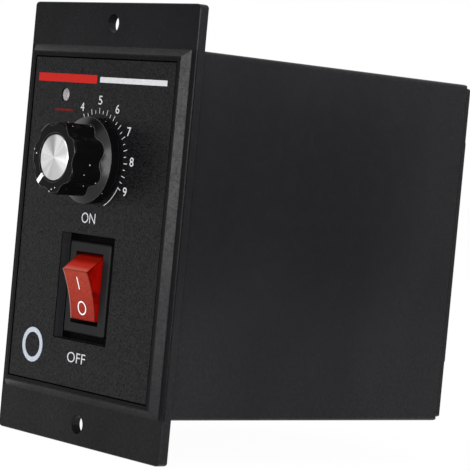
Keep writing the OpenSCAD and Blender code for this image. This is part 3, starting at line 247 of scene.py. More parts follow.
class Finish(Nodes):
    """One node material, with short ways to add noise, masks, rounded edges and bumps."""

    def __init__(self, name):
        self.material = bpy.data.materials.new(name)
        self.material.use_nodes = True
        super().__init__(self.material.node_tree)
        self.shader = self.tree.nodes["Principled BSDF"]
        coordinates = self.node("ShaderNodeTexCoord")
        self.place = coordinates.outputs["Object"]
        self.facet = coordinates.outputs["Normal"]
        self.paint = None
        self.normal = None

    def set(self, **values):
        """Gives the shader's inputs values or the outputs of nodes."""
        for name, value in values.items():
            self.feed(self.shader.inputs[name.replace("_", " ")], value)
        return self

    def noise(self, size, detail=2, rough=0.5, stretch=(1, 1, 1)):
        """Noise whose spots are about size metres across, narrower along the axes that stretch raises."""
        scaled = self.node("ShaderNodeMapping", Vector=self.place, Scale=tuple(s / size for s in stretch))
        grain = self.node("ShaderNodeTexNoise", Vector=scaled.outputs["Vector"], Scale=1, Detail=detail,
                          Roughness=rough)
        return grain.outputs["Fac"]

    def scaled(self, value, low, high, start=0, full=1):
        """Numbers from low to high as a value goes from start to full."""
        made = self.node("ShaderNodeMapRange", Value=value, From_Min=start, From_Max=full, To_Min=low,
                         To_Max=high)
        return made.outputs["Result"]

    def varied(self, noise, low, high):
        """Numbers from low to high that vary with noise."""
        return self.scaled(noise, low, high, NOISE_LOW, NOISE_HIGH)

    def mottled(self, noise, low, high):
        """Colours from low to high that vary with noise."""
        made = self.node("ShaderNodeValToRGB", Fac=noise)
        for stop, place, colour in zip(made.color_ramp.elements, (NOISE_LOW, NOISE_HIGH), (low, high)):
            stop.position = place
            stop.color = (*colour, 1)
        return made.outputs["Color"]

    def cloud(self, size, start, full, stretch=(1, 1, 1)):
        """From 0 to 1 where noise of a size rises from start to full."""
        return self.scaled(self.noise(size, stretch=stretch), 0, 1, start, full)

    def times(self, first, second):
        """Product of two outputs."""
        return self.maths("MULTIPLY", first, second)

    def blend(self, first, second, share):
        """One colour laid over another by a share, each a colour or the output of a node."""
        mix = self.node("ShaderNodeMix", data_type="RGBA")
        for place, value in zip(MIX_INPUTS, (share, first, second)):
            self.feed(mix.inputs[place], value)
        return mix.outputs[MIX_OUTPUT]

    def cosine(self, first, second):
        """Cosine of the angle between two directions."""
        made = self.node("ShaderNodeVectorMath", operation="DOT_PRODUCT")
        for socket, value in zip(made.inputs, (first, second)):
            self.feed(socket, value)
        return made.outputs["Value"]

    def facing(self, way, start, full):
        """From 0 to 1 as the surface turns towards a direction, by the cosine of the angle."""
        return self.scaled(self.cosine(self.facet, way), 0, 1, start, full)

    def slope(self, way, cosine, spread):
        """1 where the surface is turned from a direction by an angle of about this cosine, else 0."""
        return self.maths("COMPARE", self.cosine(self.facet, way), cosine, spread)

    def axes(self):
        """The place on the object as three numbers, called X, Y and Z."""
        return self.node("ShaderNodeSeparateXYZ", Vector=self.place).outputs

    def along(self, axis, start, full):
        """From 0 to 1 as a coordinate on the object goes from start to full."""
        return self.scaled(self.axes()[axis], 0, 1, start, full)

    def within(self, middle, size):
        """1 inside a box and 0 outside it."""
        axes = self.axes()
        inside = [self.maths("COMPARE", axes[axis], middle[axis], size[axis] / 2) for axis in range(3)]
        return self.times(self.times(inside[0], inside[1]), inside[2])

    def rounded(self, radius):
        """Normal of the surface with its edges rounded."""
        return self.node("ShaderNodeBevel", samples=EDGE_SAMPLES, Radius=radius).outputs["Normal"]

    def rim(self, radius):
        """From 0 on a flat face to 1 on its edges."""
        flat = self.node("ShaderNodeNewGeometry").outputs["True Normal"]
        return self.scaled(self.cosine(self.rounded(radius), flat), 0, 1, RIM_START, RIM_FULL)

    def specks(self, spacing, size, few):
        """1 on scattered round specks of dust, fewer of them as few nears 1, else 0."""
        cells = self.node("ShaderNodeTexVoronoi", Vector=self.place, Scale=1 / spacing).outputs
        near = self.maths("LESS_THAN", cells["Distance"], size / spacing)
        chosen = self.maths("GREATER_THAN", cells["Color"], few)
        return self.times(near, chosen)

    def edges(self, radius):
        """Makes edges catch the light as if they were rounded."""
        self.normal = self.rounded(radius)
        return self.set(Normal=self.normal)

    def bump(self, height, depth, strength=0.6):
        """Adds relief of a depth where height goes from 0 to 1, over the rounded edges if it has them."""
        made = self.node("ShaderNodeBump", Height=height, Distance=depth, Strength=strength)
        if self.normal is not None:
            self.feed(made.inputs["Normal"], self.normal)
        self.normal = made.outputs["Normal"]
        return self.set(Normal=self.normal)

    def cover(self, shown):
        """Puts the material on an object in place of what it has."""
        shown.data.materials.clear()
        shown.data.materials.append(self.material)

    def on(self, *names):
        """Puts the material on CAD nodes."""
        for name in names:
            self.cover(NODES[name])


def lighter(colour, share):
    """Colour multiplied by a share, so darker where the share is under 1."""
    return tuple(part * share for part in colour)


def moulded(name, colour, roughness, edge, specular=0.4, grain=0.3 * MM, depth=0.01 * MM):
    """Moulded plastic with a fine grain, a slight mottle and edges that catch the light."""
    made = Finish(name).set(Specular_IOR_Level=specular)
    made.paint = made.mottled(made.noise(9 * MM, detail=3), lighter(colour, 0.9), lighter(colour, 1.12))
    wear = made.noise(4 * MM, detail=4)
    made.set(Base_Color=made.paint, Roughness=made.varied(wear, roughness * 0.92, roughness * 1.08))
    return made.edges(edge).bump(made.noise(grain), depth)


def plated(name, colour, roughness, edge, streak=(1, 1, 1)):
    """Plated or turned metal with faint streaks, fine along the axes that streak raises."""
    made = Finish(name).set(Metallic=1)
    shade = made.noise(1.2 * MM, detail=4, rough=0.6, stretch=streak)
    made.set(Base_Color=made.mottled(shade, lighter(colour, 0.86), lighter(colour, 1.06)))
    wear = made.noise(0.6 * MM, detail=3, rough=0.6, stretch=streak)
    made.set(Roughness=made.varied(wear, roughness * 0.8, roughness * 1.25))
    return made.edges(edge).bump(made.noise(0.25 * MM, stretch=streak), 0.004 * MM, strength=0.4)


def printed(name, colour):
    """Matt screen-printing ink with a slightly uneven lay."""
    made = Finish(name).set(Specular_IOR_Level=0.1)
    lay = made.noise(0.5 * MM, detail=3)
    made.set(Base_Color=made.mottled(lay, lighter(colour, 0.88), lighter(colour, 1.04)))
    made.set(Roughness=made.varied(made.noise(0.3 * MM), low=0.45, high=0.6))
    return made.bump(made.noise(0.12 * MM), 0.01 * MM, strength=0.3)


def shown_mesh(name, made):
    """Turns a bmesh into an object at the origin."""
    mesh = bpy.data.meshes.new(name)
    made.to_mesh(mesh)
    made.free()
    shown = bpy.data.objects.new(name, mesh)
    bpy.context.scene.collection.objects.link(shown)
    return shown


def piece(name, made, body, finish):
    """Turns a bmesh into a finished piece that rides on a body."""
    shown = shown_mesh(name, made)
    finish.cover(shown)
    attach(shown, body)


def bar(made, middle, size, turn=0):
    """Adds a thin printed bar to the label, its middle as (across, up) from the label's origin."""
    place = (Matrix.Translation((middle[0], LABEL_FACE + INK_MIDDLE, middle[1]))
             @ Matrix.Rotation(turn, 4, "Y")
             @ Matrix.Diagonal((size[0], INK_THICK, size[1], 1)))
    bmesh.ops.create_cube(made, size=1, matrix=place)


def arc(made, centre, inner, outer, start, sweep, steps):
    """Adds a thin printed arc to the label, its start an angle clockwise from the top."""
    middle = Vector((centre[0], 0, centre[1]))
    outwards = Vector((math.sin(start), 0, math.cos(start)))
    front = Vector((0, LABEL_FACE - INK, 0))
    back = Vector((0, LABEL_FACE + INK_SUNK, 0))
    corners = [made.verts.new(middle + outwards * radius + depth)
               for radius, depth in ((inner, front), (outer, front), (outer, back), (inner, back))]
    end = made.faces.new(corners)
    outline = [*end.edges, *corners]
    closed = math.isclose(sweep, FULL_TURN)
    if closed:
        bmesh.ops.delete(made, geom=[end], context="FACES_ONLY")
    else:
        outline.insert(0, end)
    bmesh.ops.spin(made, geom=outline, cent=middle, axis=(0, 1, 0), dvec=(0, 0, 0), angle=sweep,
                   steps=steps, use_merge=closed, use_duplicate=False)
    bmesh.ops.recalc_face_normals(made, faces=made.faces)


def lettering(made, words, height, middle, weight, width=None):
    """Adds printed characters to the label, their middle as (across, up)."""
    curve = bpy.data.curves.new("characters", "FONT")
    curve.body = words
    curve.size = 1
    curve.extrude = 1
    curve.offset = weight
    curve.resolution_u = LETTER_STEPS
    holder = bpy.data.objects.new("characters", curve)
    bpy.context.scene.collection.objects.link(holder)
    bpy.context.view_layer.update()
    mesh = bpy.data.meshes.new_from_object(holder)
    bpy.data.objects.remove(holder)
    bpy.data.curves.remove(curve)
    across = [vert.co.x for vert in mesh.vertices]
    upwards = [vert.co.y for vert in mesh.vertices]
    tall = height / (max(upwards) - min(upwards))
    wide = width / (max(across) - min(across)) if width else tall
    centre = Vector(((max(across) + min(across)) / 2, (max(upwards) + min(upwards)) / 2, 0))
    mesh.transform(Matrix.Translation((middle[0], LABEL_FACE + INK_MIDDLE, middle[1]))
                   @ Matrix.Rotation(QUARTER_TURN, 4, "X")
                   @ Matrix.Diagonal((wide, tall, INK_THICK / 2, 1))
                   @ Matrix.Translation(-centre))
    made.from_mesh(mesh)
    bpy.data.meshes.remove(mesh)


class CONTROLLER_OT_case(bpy.types.Operator):
    """Finish the case, its rear cover and the label plate"""

    bl_idname = "controller.case"
    bl_label = "Case"

    # Painted shade: the space round the switch is painted darker, as shadow in the well.
    well_depth: length_setting("Well depth", "Depth of the shaded space round the switch", 8)
    well_middle: length_setting("Well middle", "Distance of that space's middle behind the case's front", 3)
    # Painted light: the well's wall that faces right is painted paler.
    well_wall: length_setting("Well wall", "Width added to that space to take in its pale right wall", 1)
    # Painted shade: the groove and the rim round the label and the flange's margins beside the bezel are
    # painted darker, as shadow there.
    groove: length_setting("Groove", "Width added to the label plate for the dark groove round it", 0.7)
    surround: length_setting("Surround", "Width added to the label plate for the dimmer rim round it", 2.4)
    rim_depth: length_setting("Rim depth", "Depth added to the label plate for the groove and the rim", 1.2)
    margin_inset: length_setting("Margin inset", "Distance of the flange's dim margins from its edges", 0.75)
    margin_width: length_setting("Margin width", "Width of each dim margin", 2.1)
    margin_depth: length_setting("Margin depth", "Depth of each dim margin", 1)
    margin_height: length_setting("Margin height", "Height of each dim margin, that of the body", 84.2)
    flange_front: length_setting("Flange front", "Thickness of the flange", 2.5)

    def well(self, sizes):
        """Middle and size of the space round the switch."""
        low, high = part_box("switch_frame")
        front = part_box("housing")[0].y
        middle = Vector((0, front + self.well_middle, (low.z + high.z) / 2))
        return middle, Vector((sizes.well_width, self.well_depth, sizes.well_height))

    def dimmed(self, sizes):
        """Boxes of painted shade, in which the case is painted dimmer, each with its share of the colour and
        of the shine.
        """
        label = (LABEL_LOW + LABEL_HIGH) / 2
        plate = LABEL_HIGH - LABEL_LOW
        surround = plate + Vector((self.surround, self.rim_depth, self.surround))
        groove = plate + Vector((self.groove, self.rim_depth, self.groove))
        margin = (self.margin_width, self.margin_depth, self.margin_height)
        right = Vector((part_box("housing")[1].x - self.margin_inset, -self.flange_front, 0))
        left = Vector((-right.x, right.y, 0))
        # Each box is painted shade: the well, the rim and groove round the label, and the two margins beside
        # the bezel.
        return ((*self.well(sizes), 0.2, 0.1),
                (label, surround, 0.6, 0.6),
                (label, groove, 0.1, 0.1),
                (right, margin, 0.7, 0.65),
                (left, margin, 0.7, 0.7))

    def shell(self, sizes, colours):
        """Case plastic, dusty, painted paler on its sides and slopes as painted light, and painted darker
        round the label and the switch as painted shade.
        """
        made = moulded("case_plastic", colours.case, roughness=0.27, edge=sizes.edge_round,
                       grain=0.22 * MM, depth=0.02 * MM)
        dust = made.specks(spacing=5 * MM, size=0.16 * MM, few=0.72)
        sides = made.facing(FORWARDS, start=0.5, full=0.2)
        slopes = made.slope(FORWARDS, cosine=0.707, spread=0.12)
        colour = made.blend(made.paint, lighter(colours.dust, 0.25), dust)
        # Painted light: the sides and the forward slopes are painted paler, and the sides given more shine,
        # for light falling on them.
        colour = made.blend(colour, lighter(colours.case, 1.85), sides)
        colour = made.blend(colour, lighter(colours.case, 1.7), slopes)
        cloud = made.cloud(32 * MM, start=0.35, full=0.65, stretch=(1, 1, 0.5))
        shine = made.scaled(cloud, low=0.055, high=0.085)
        shine = made.times(shine, made.varied(made.noise(0.6 * MM), low=0.65, high=1.35))
        shine = made.times(shine, made.scaled(sides, low=1, high=1.6))
        # Painted shade: inside each box the colour and the shine are darkened.
        for middle, size, paint, gloss in self.dimmed(sizes):
            inside = made.within(middle, size)
            colour = made.blend(colour, lighter(colours.case, paint), inside)
            shine = made.times(shine, made.scaled(inside, low=1, high=gloss))
        # Painted light: the well's wall that faces right is painted paler, as if lit.
        middle, size = self.well(sizes)
        well = made.within(middle, size + Vector((self.well_wall, 0, 0)))
        wall = made.times(well, made.facing(RIGHT, start=0.5, full=0.8))
        colour = made.blend(colour, lighter(colours.case, 4.6), wall)
        made.set(Base_Color=colour, Specular_IOR_Level=shine).on("housing", "rear_cover")

    def label(self, sizes, colours):
        """Coarse black plate whose sheen comes in specks."""
        made = Finish("label_black")
        grain = made.noise(0.4 * MM, rough=0.6)
        speckle = made.noise(0.4 * MM, rough=0.6, stretch=(0.7, 1, 1.1))
        made.set(Base_Color=made.mottled(speckle, lighter(colours.label, 0), lighter(colours.label, 1.5)),
                 Specular_IOR_Level=made.varied(grain, low=0.03, high=0.155),
                 Roughness=made.varied(made.noise(0.5 * MM, detail=3), low=0.24, high=0.38))
        made.edges(sizes.edge_round / 2).bump(grain, 0.16 * MM, strength=0.45).on("label_plate")

    def execute(self, context):
        sizes, colours, _ = settings()
        self.shell(sizes, colours)
        self.label(sizes, colours)
        return {"FINISHED"}


class CONTROLLER_OT_knob(bpy.types.Operator):
    """Finish the knob, its spun cap, its pointer, its brass insert and its set screw"""

    bl_idname = "controller.knob"
    bl_label = "Knob"

    skirt_cosine: number_setting("Skirt slope", "Cosine of the angle from its normal to the axis", 0.916)

    def gloss(self, sizes, colours):
        """Glossy black with a painted highlight on its edges, and a satin skirt that is duller underneath."""
        made = Finish("knob_gloss")
        dust = made.specks(spacing=2 * MM, size=0.17 * MM, few=0.55)
        skirt = made.slope(FORWARDS, self.skirt_cosine, spread=0.04)
        under = made.facing(DOWN, start=0.15, full=0.6)
        # Painted highlight: the knob's edges are painted grey, as a light outline.
        highlit = made.blend(colours.knob, colours.knob_edge, made.rim(0.22 * MM))
        shine = made.scaled(skirt, low=0.036, high=0.36)
        made.set(Base_Color=made.blend(highlit, colours.dust, dust),
                 Specular_IOR_Level=made.times(shine, made.scaled(under, low=1, high=0.3)),
                 Roughness=made.scaled(skirt, low=0.12, high=0.22))
        made.edges(sizes.edge_round).on("knob")

    def spun(self):
        """Spun aluminium with fine turned rings about the dial's axis, its colour painted grey in some
        sectors round that axis and white in others, as painted reflection.
        """
        made = Finish("spun_cap").set(Metallic=1, Roughness=0.3)
        moved = made.node("ShaderNodeMapping", Vector=made.place, Location=(-DIAL_X, 0, -DIAL_Z))
        centred = moved.outputs["Vector"]
        axes = made.node("ShaderNodeSeparateXYZ", Vector=centred).outputs
        angle = made.maths("ARCTAN2", axes["X"], axes["Z"])
        reflection_sector = made.node("ShaderNodeTexNoise", noise_dimensions="1D", W=angle, Scale=0.9, Detail=2)
        rings = made.node("ShaderNodeTexWave", wave_type="RINGS", rings_direction="Y", Vector=centred,
                          Scale=1800, Distortion=0.6, Detail=1)
        # Painted reflection: grey and white sectors by the angle round the dial's axis stand for what the cap
        # reflects.
        made.set(Base_Color=made.mottled(reflection_sector.outputs["Fac"], lighter(WHITE, 0.36), WHITE))
        made.bump(rings.outputs["Fac"], 0.02 * MM, strength=0.5).on("knob_cap")

    def execute(self, context):
        sizes, colours, _ = settings()
        edge = sizes.edge_round / 2
        self.gloss(sizes, colours)
        self.spun()
        printed("pointer_white", colours.ink).on("knob_pointer")
        plated("turned_brass", (0.72, 0.5, 0.2), roughness=0.3, edge=edge, streak=(1, 8, 1)).on("knob_insert")
        plated("blackened_steel", (0.12, 0.12, 0.13), roughness=0.4, edge=edge).on("knob_set_screw")
        return {"FINISHED"}


class CONTROLLER_OT_dial_scale(bpy.types.Operator):
    """Print the numbers, the ticks and the end arc round the knob"""

    bl_idname = "controller.dial_scale"
    bl_label = "Dial scale"

    last_number: bpy.props.IntProperty(name="Last number", description="Number at the scale's end", default=9)
    middle_number: bpy.props.IntProperty(name="Middle number", description="Number at the top", default=5)
    number_step: angle_setting("Number step", "Angle between two numbers, a little under the step", 29.4)
    first_angle: angle_setting("First tick", "Angle of the first tick, clockwise from the top", -120)
    step_angle: angle_setting("Step", "Angle between the ticks of two numbers", 30)
    parts: bpy.props.IntProperty(
        name="Parts", description="Ticks from one number to the next", default=4, min=1)
    end_arc: number_setting("End arc", "Length of the arc after the last tick, in steps", 1.15)

    def numbers(self, sizes, ink):
        """Prints the numbers, each but the narrow 1 at the same width."""
        made = bmesh.new()
        for number in range(1, self.last_number + 1):
            angle = (number - self.middle_number) * self.number_step
            at = (DIAL_X + sizes.number_radius * math.sin(angle),
                  DIAL_Z + sizes.number_lift + sizes.number_radius * math.cos(angle))
            width = None if number == 1 else sizes.number_width
            lettering(made, str(number), sizes.number_height, at, sizes.number_weight, width)
        piece("dial_numbers", made, CASE, ink)

    def ticks(self, sizes, ink):
        """Prints long and short ticks in turn, and an arc that goes on from the last one."""
        made = bmesh.new()
        for tick in range((self.last_number - 1) * self.parts + 1):
            angle = self.first_angle + tick * self.step_angle / self.parts
            outer = sizes.tick_outer if tick % 2 == 0 else sizes.tick_short
            middle = (sizes.tick_inner + outer) / 2
            bar(made, (DIAL_X + middle * math.sin(angle), DIAL_Z + middle * math.cos(angle)),
                (sizes.tick_width, outer - sizes.tick_inner), angle)
        last = self.first_angle + (self.last_number - 1) * self.step_angle
        inner = sizes.tick_inner + sizes.tick_width / 2
        arc(made, (DIAL_X, DIAL_Z), inner, inner + sizes.tick_width, last, self.step_angle * self.end_arc,
            END_ARC_STEPS)
        piece("dial_ticks", made, CASE, ink)

    def execute(self, context):
        sizes, colours, _ = settings()
        ink = printed("scale_ink", colours.label_ink)
        self.numbers(sizes, ink)
        self.ticks(sizes, ink)
        return {"FINISHED"}


class CONTROLLER_OT_label_marks(bpy.types.Operator):
    """Print the stripes, the line under the lamp, the ring and the words round the switch"""

    bl_idname = "controller.label_marks"
    bl_label = "Label marks"

    stripe_start: length_setting("Stripe start", "Left end of the red stripe", -26.0)
    stripe_break: length_setting("Stripe break", "Where the red stripe gives way to the white one", -1.5)
    stripe_end: length_setting("Stripe end", "Right end of the white stripe", 24.9)
    stripe_gap: length_setting("Stripe gap", "Gap between the two stripes", 1.2)
    line_drop: length_setting("Lamp line drop", "Distance of the lamp's line below the lamp", 1.7)
    line_length: length_setting("Lamp line length", "Length of the lamp's line", 7.5)
    line_width: length_setting("Lamp line width", "Width of the lamp's line", 0.5)
    ring_x: length_setting("Ring across", "Middle of the ring, to the right", -18.8)
    ring_z: length_setting("Ring height", "Middle of the ring, upwards", -30.7)
    ring_radius: length_setting("Ring radius", "Outer radius of the ring", 4.2)
    ring_hole: number_setting("Ring hole", "Inner radius of the ring, as a share of the outer one", 0.72)
    on_x: length_setting("Upper word across", "Middle of the upper word, to the right", -0.6)
    on_width: length_setting("Upper word width", "Width of the upper word", 5.4)
    off_x: length_setting("Lower word across", "Middle of the lower word, to the right", -0.5)
    off_width: length_setting("Lower word width", "Width of the lower word", 7.2)

    def stripe(self, name, start, end, middle, height, ink):
        """Prints one level stripe from its start to its end."""
        made = bmesh.new()
        bar(made, ((start + end) / 2, middle), (end - start, height))
        piece(name, made, CASE, ink)

    def ring(self, ink):
        """Prints the ring in the label's lower left corner."""
        made = bmesh.new()
        inner = self.ring_radius * self.ring_hole
        arc(made, (self.ring_x, self.ring_z), inner, self.ring_radius, 0, FULL_TURN, RING_STEPS)
        piece("label_ring", made, CASE, ink)

    def words(self, sizes, ink):
        """Prints one word above the switch and one below it."""
        made = bmesh.new()
        for word, middle, width in (("ON", (self.on_x, sizes.word_above), self.on_width),
                                    ("OFF", (self.off_x, sizes.word_below), self.off_width)):
            lettering(made, word, sizes.word_height, middle, sizes.word_weight, width)
        piece("switch_words", made, CASE, ink)

    def execute(self, context):
        sizes, colours, _ = settings()
        white = printed("label_ink", colours.label_ink)
        red = printed("label_red_ink", colours.red_ink)
        dark_red = printed("lamp_line_ink", lighter(colours.red_ink, 0.3))
        pale_blue = printed("ring_ink", colours.ring_ink)
        left_end = self.stripe_break - self.stripe_gap / 2
        right_start = self.stripe_break + self.stripe_gap / 2
        lamp_low, lamp_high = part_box("led")
        lamp_x = (lamp_low.x + lamp_high.x) / 2
        half = self.line_length / 2
        self.stripe("stripe_left", self.stripe_start, left_end, sizes.stripe_z, sizes.stripe_bold, red)
        self.stripe("stripe_right", right_start, self.stripe_end, sizes.stripe_z, sizes.stripe_fine, white)
        self.stripe("lamp_line", lamp_x - half, lamp_x + half, lamp_low.z - self.line_drop, self.line_width,
                    dark_red)
        self.ring(pale_blue)
        self.words(sizes, white)
        return {"FINISHED"}


def laid_on_rocker(made):
    """Moves each vertex forwards or back onto the rocker's face, then gives the sheet a thickness."""
    rocker = NODES["rocker"].data
    tree = BVHTree.FromPolygons([vert.co.copy() for vert in rocker.vertices],
                                [tuple(face.vertices) for face in rocker.polygons])
    for vert in made.verts:
        start = Vector((vert.co.x, CAD_BOX[0][1], vert.co.z))
        hit, _, _, _ = tree.ray_cast(start, Vector((0, 1, 0)))
        if hit is None:
            raise RuntimeError("a mark lies outside the rocker's face")
        vert.co.y = hit.y - INK
    bmesh.ops.recalc_face_normals(made, faces=made.faces)
    for face in made.faces:
        if face.normal.y > 0:
            face.normal_flip()
    bmesh.ops.solidify(made, geom=made.faces[:], thickness=INK_THICK)


def upright(height):
    """Stands a flat shape up, facing forwards, at a height."""
    return Matrix.Translation((0, 0, height)) @ Matrix.Rotation(QUARTER_TURN, 4, "X")


class CONTROLLER_OT_switch(bpy.types.Operator):
    """Finish the switch and put the two marks on its rocker"""

    bl_idname = "controller.switch"
    bl_label = "Rocker switch"

    face_lean: angle_setting("Face lean", "Angle by which the rocker's face looks down", 17)
    # Painted highlight: a pale strip painted along the face's left edge.
    pale_edge: length_setting("Pale edge", "Width of the pale strip at the left edge of the face", 0.42)
    line_middle: length_setting("Line place", "Height of the line mark's middle", -14.0)
    line_length: length_setting("Line length", "Length of the line mark", 2.9)
    ring_middle: length_setting("Ring place", "Height of the ring mark's middle", -19.86)
    ring_width: length_setting("Ring width", "Width of the ring mark", 3.3)

    def rocker(self, colours):
        """Clear red, frosted on the face; its upward end painted orange as painted light, darker at the bezel
        as painted shade and paler at its outer end as painted highlight, with painted shade on its edges and
        a painted highlight strip at the face's left edge.
        """
        made = Finish("rocker_red").set(Transmission_Weight=0.15, IOR=1.49)
        low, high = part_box("rocker")
        middle = (low + high) / 2
        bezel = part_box("switch_frame")[0].y
        reach = low.y - bezel
        left = min(vert.co.x for vert in NODES["rocker"].data.vertices if vert.co.y < bezel)
        face_way = (0, -math.cos(self.face_lean), -math.sin(self.face_lean))
        face = made.facing(face_way, start=0.93, full=0.96)
        cloud = made.cloud(3.5 * MM, start=0.45, full=0.75)
        clear = made.blend(colours.rocker, lighter(colours.rocker, 0.35), cloud)
        # Painted shade and light on the upward end: darker near the bezel, paler towards its outer end.
        out = made.along("Y", bezel + reach * 0.2, bezel + reach * 0.55)
        end = made.blend(lighter(colours.rocker_top, 0.4), colours.rocker_top, out)
        tip_highlight = made.along("Y", bezel + reach * 0.7, bezel + reach * 0.9)
        end = made.blend(end, lighter(colours.rocker_front, 1.25), tip_highlight)
        frosted = made.blend(colours.rocker_foot, colours.rocker_front, made.along("Z", low.z, high.z))
        flecks = made.cloud(0.32 * MM, start=0.45, full=0.75)
        frosted = made.blend(frosted, lighter(colours.rocker, 0.5), flecks)
        # Painted light: upward faces take the end's lit orange in place of the clear red.
        colour = made.blend(clear, end, made.facing(UP, start=0.6, full=0.8))
        colour = made.blend(colour, frosted, face)
        # Painted shade: the rocker's edges are painted darker red.
        colour = made.blend(colour, lighter(colours.rocker, 0.15), made.rim(0.7 * MM))
        # Painted highlight: the face's left edge is painted greyish pink.
        strip = made.within((left + self.pale_edge / 2, middle.y, middle.z),
                            (self.pale_edge, high.y - low.y, high.z - low.z))
        made.set(Base_Color=made.blend(colour, colours.rocker_edge, made.times(face, strip)),
                 Specular_IOR_Level=made.scaled(face, low=0.06, high=0.03),
                 Roughness=made.scaled(face, low=0.14, high=0.55))
        frost = made.times(made.noise(0.25 * MM, detail=3), face)
        made.edges(0.25 * MM).bump(frost, 0.12 * MM).on("rocker")

    def line_mark(self, sizes, ink):
        """Prints the upright line on the rocker's upper half."""
        made = bmesh.new()
        size = Matrix.Diagonal((sizes.mark_stroke, self.line_length, 1, 1))
        bmesh.ops.create_grid(made, x_segments=1, y_segments=MARK_LINE_STEPS, size=0.5,
                              matrix=upright(self.line_middle) @ size)
        laid_on_rocker(made)
        piece("rocker_line_mark", made, ROCKER, ink)

    def ring_mark(self, sizes, ink):
        """Prints the ring on the rocker's lower half."""
        made = bmesh.new()
        edges = set()
        for radius in (self.ring_width / 2, self.ring_width / 2 - sizes.mark_stroke):
            loop = bmesh.ops.create_circle(made, segments=MARK_RING_STEPS, radius=radius,
                                           matrix=upright(self.ring_middle))
            edges.update(edge for vert in loop["verts"] for edge in vert.link_edges)
        bmesh.ops.bridge_loops(made, edges=list(edges))
        laid_on_rocker(made)
        piece("rocker_ring_mark", made, ROCKER, ink)

    def execute(self, context):
        sizes, colours, _ = settings()
        edge = sizes.edge_round
        black = moulded("switch_black", lighter(colours.case, 0.95), roughness=0.5, edge=edge, specular=0.12)
        black.on("switch_frame")
        white = moulded("plunger_white", (0.75, 0.75, 0.72), roughness=0.4, edge=edge, grain=0.5 * MM,
                        depth=0.004 * MM)
        white.on("rocker_plunger")
        self.rocker(colours)
        ink = printed("rocker_ink", colours.ink)
        self.line_mark(sizes, ink)
        self.ring_mark(sizes, ink)
        return {"FINISHED"}


class CONTROLLER_OT_lamp(bpy.types.Operator):
    """Finish the signal lamp"""

    bl_idname = "controller.lamp"
    bl_label = "Signal lamp"

    def execute(self, context):
        _, colours, _ = settings()
        made = Finish("lamp_lens")
        made.set(Transmission_Weight=0.25, IOR=1.5, Subsurface_Weight=0.3, Subsurface_Scale=1 * MM)
        milk = made.noise(0.9 * MM)
        made.set(Base_Color=made.mottled(milk, lighter(colours.lamp, 0.85), lighter(colours.lamp, 1.15)),
                 Roughness=made.varied(made.noise(0.5 * MM), low=0.2, high=0.34))
        made.bump(made.noise(0.3 * MM, detail=1), 0.005 * MM, strength=0.3).on("led")
        return {"FINISHED"}


class CONTROLLER_OT_metal(bpy.types.Operator):
    """Finish the screws, the shaft, the nut, the terminals and the other metal pieces"""

    bl_idname = "controller.metal"
    bl_label = "Metal pieces"

    def execute(self, context):
        sizes, _, _ = settings()
        # Each row is a material's name, colour, roughness and streaks, and the nodes that have it.
        metals = (
            ("nickel_plate", (0.66, 0.66, 0.67), 0.26, (1, 1, 1),
             ("pot_shaft", "pot_bush", "pot_washer", "pot_nut", "pot_case", "terminal_screws",
              "led_board_screws", "transistor_screws", "switch_terminals", "led_leads", "rocker_spring")),
            ("zinc_screw", (0.55, 0.56, 0.58), 0.34, (1, 1, 1), ("cover_screws",)),
            ("tin_plate", (0.72, 0.72, 0.7), 0.38, (1, 1, 6), ("terminal_contacts",)),
            ("spring_brass", (0.7, 0.48, 0.2), 0.3, (1, 1, 1), ("pot_wiper", "switch_contact", "fuse_clips")),
            ("pressed_aluminium", (0.68, 0.69, 0.7), 0.36, (1, 7, 1), ("heat_sink",)),
            ("core_laminations", (0.2, 0.2, 0.21), 0.5, (1, 1, 14), ("transformer_core",)),
        )
        for name, colour, roughness, streak, nodes in metals:
            plated(name, colour, roughness, sizes.edge_round / 2, streak).on(*nodes)
        return {"FINISHED"}


class CONTROLLER_OT_inside(bpy.types.Operator):
    """Finish the boards, the parts on them, the wires and the terminal block"""

    bl_idname = "controller.inside"
    bl_label = "Inside parts"

    def execute(self, context):
        sizes, colours, _ = settings()
        black = lighter(colours.case, 1.2)
        # Each row is a material's name, colour, roughness and shine, and the nodes that have it.
        plastics = (
            ("block_black", black, 0.42, 0.3, ("terminal_block",)),
            ("epoxy_black", black, 0.5, 0.4, ("power_transistors", "bridge_rectifier", "control_chip")),
            ("board_green", (0.012, 0.11, 0.045), 0.35, 0.5, ("main_board", "led_board")),
            ("track_brown", (0.16, 0.06, 0.02), 0.5, 0.4, ("pot_track",)),
            ("winding_tape", (0.62, 0.4, 0.05), 0.4, 0.5, ("transformer_coil",)),
            ("sleeve_blue", (0.015, 0.03, 0.12), 0.3, 0.5, ("electrolytic_capacitor", "varistor")),
            ("film_case", (0.5, 0.42, 0.24), 0.4, 0.5, ("film_capacitors",)),
            ("resistor_body", (0.56, 0.4, 0.22), 0.4, 0.4, ("resistors",)),
            ("header_white", (0.74, 0.73, 0.68), 0.45, 0.4, ("wire_header",)),
            ("wire_red", (0.45, 0.03, 0.02), 0.4, 0.4, ("pot_wires",)),
            ("wire_black", (0.012, 0.012, 0.013), 0.4, 0.4, ("switch_wires",)),
            ("wire_yellow", (0.62, 0.46, 0.03), 0.4, 0.4, ("led_wires",)),
        )
        for name, colour, roughness, specular, nodes in plastics:
            moulded(name, colour, roughness, sizes.edge_round, specular).on(*nodes)
        glass = Finish("fuse_glass").set(Transmission_Weight=0.9, IOR=1.5)
        glass.set(Base_Color=glass.mottled(glass.noise(3 * MM), (0.82, 0.85, 0.82), (0.9, 0.92, 0.9)),
                  Roughness=glass.varied(glass.noise(1 * MM), low=0.03, high=0.1))
        glass.on("fuse_tube")
        return {"FINISHED"}


def direction(turn, rise):
    """Way from the object to something round it, turned from the front to its right and raised."""
    return Vector((math.sin(turn) * math.cos(rise), -math.cos(turn) * math.cos(rise), math.sin(rise)))


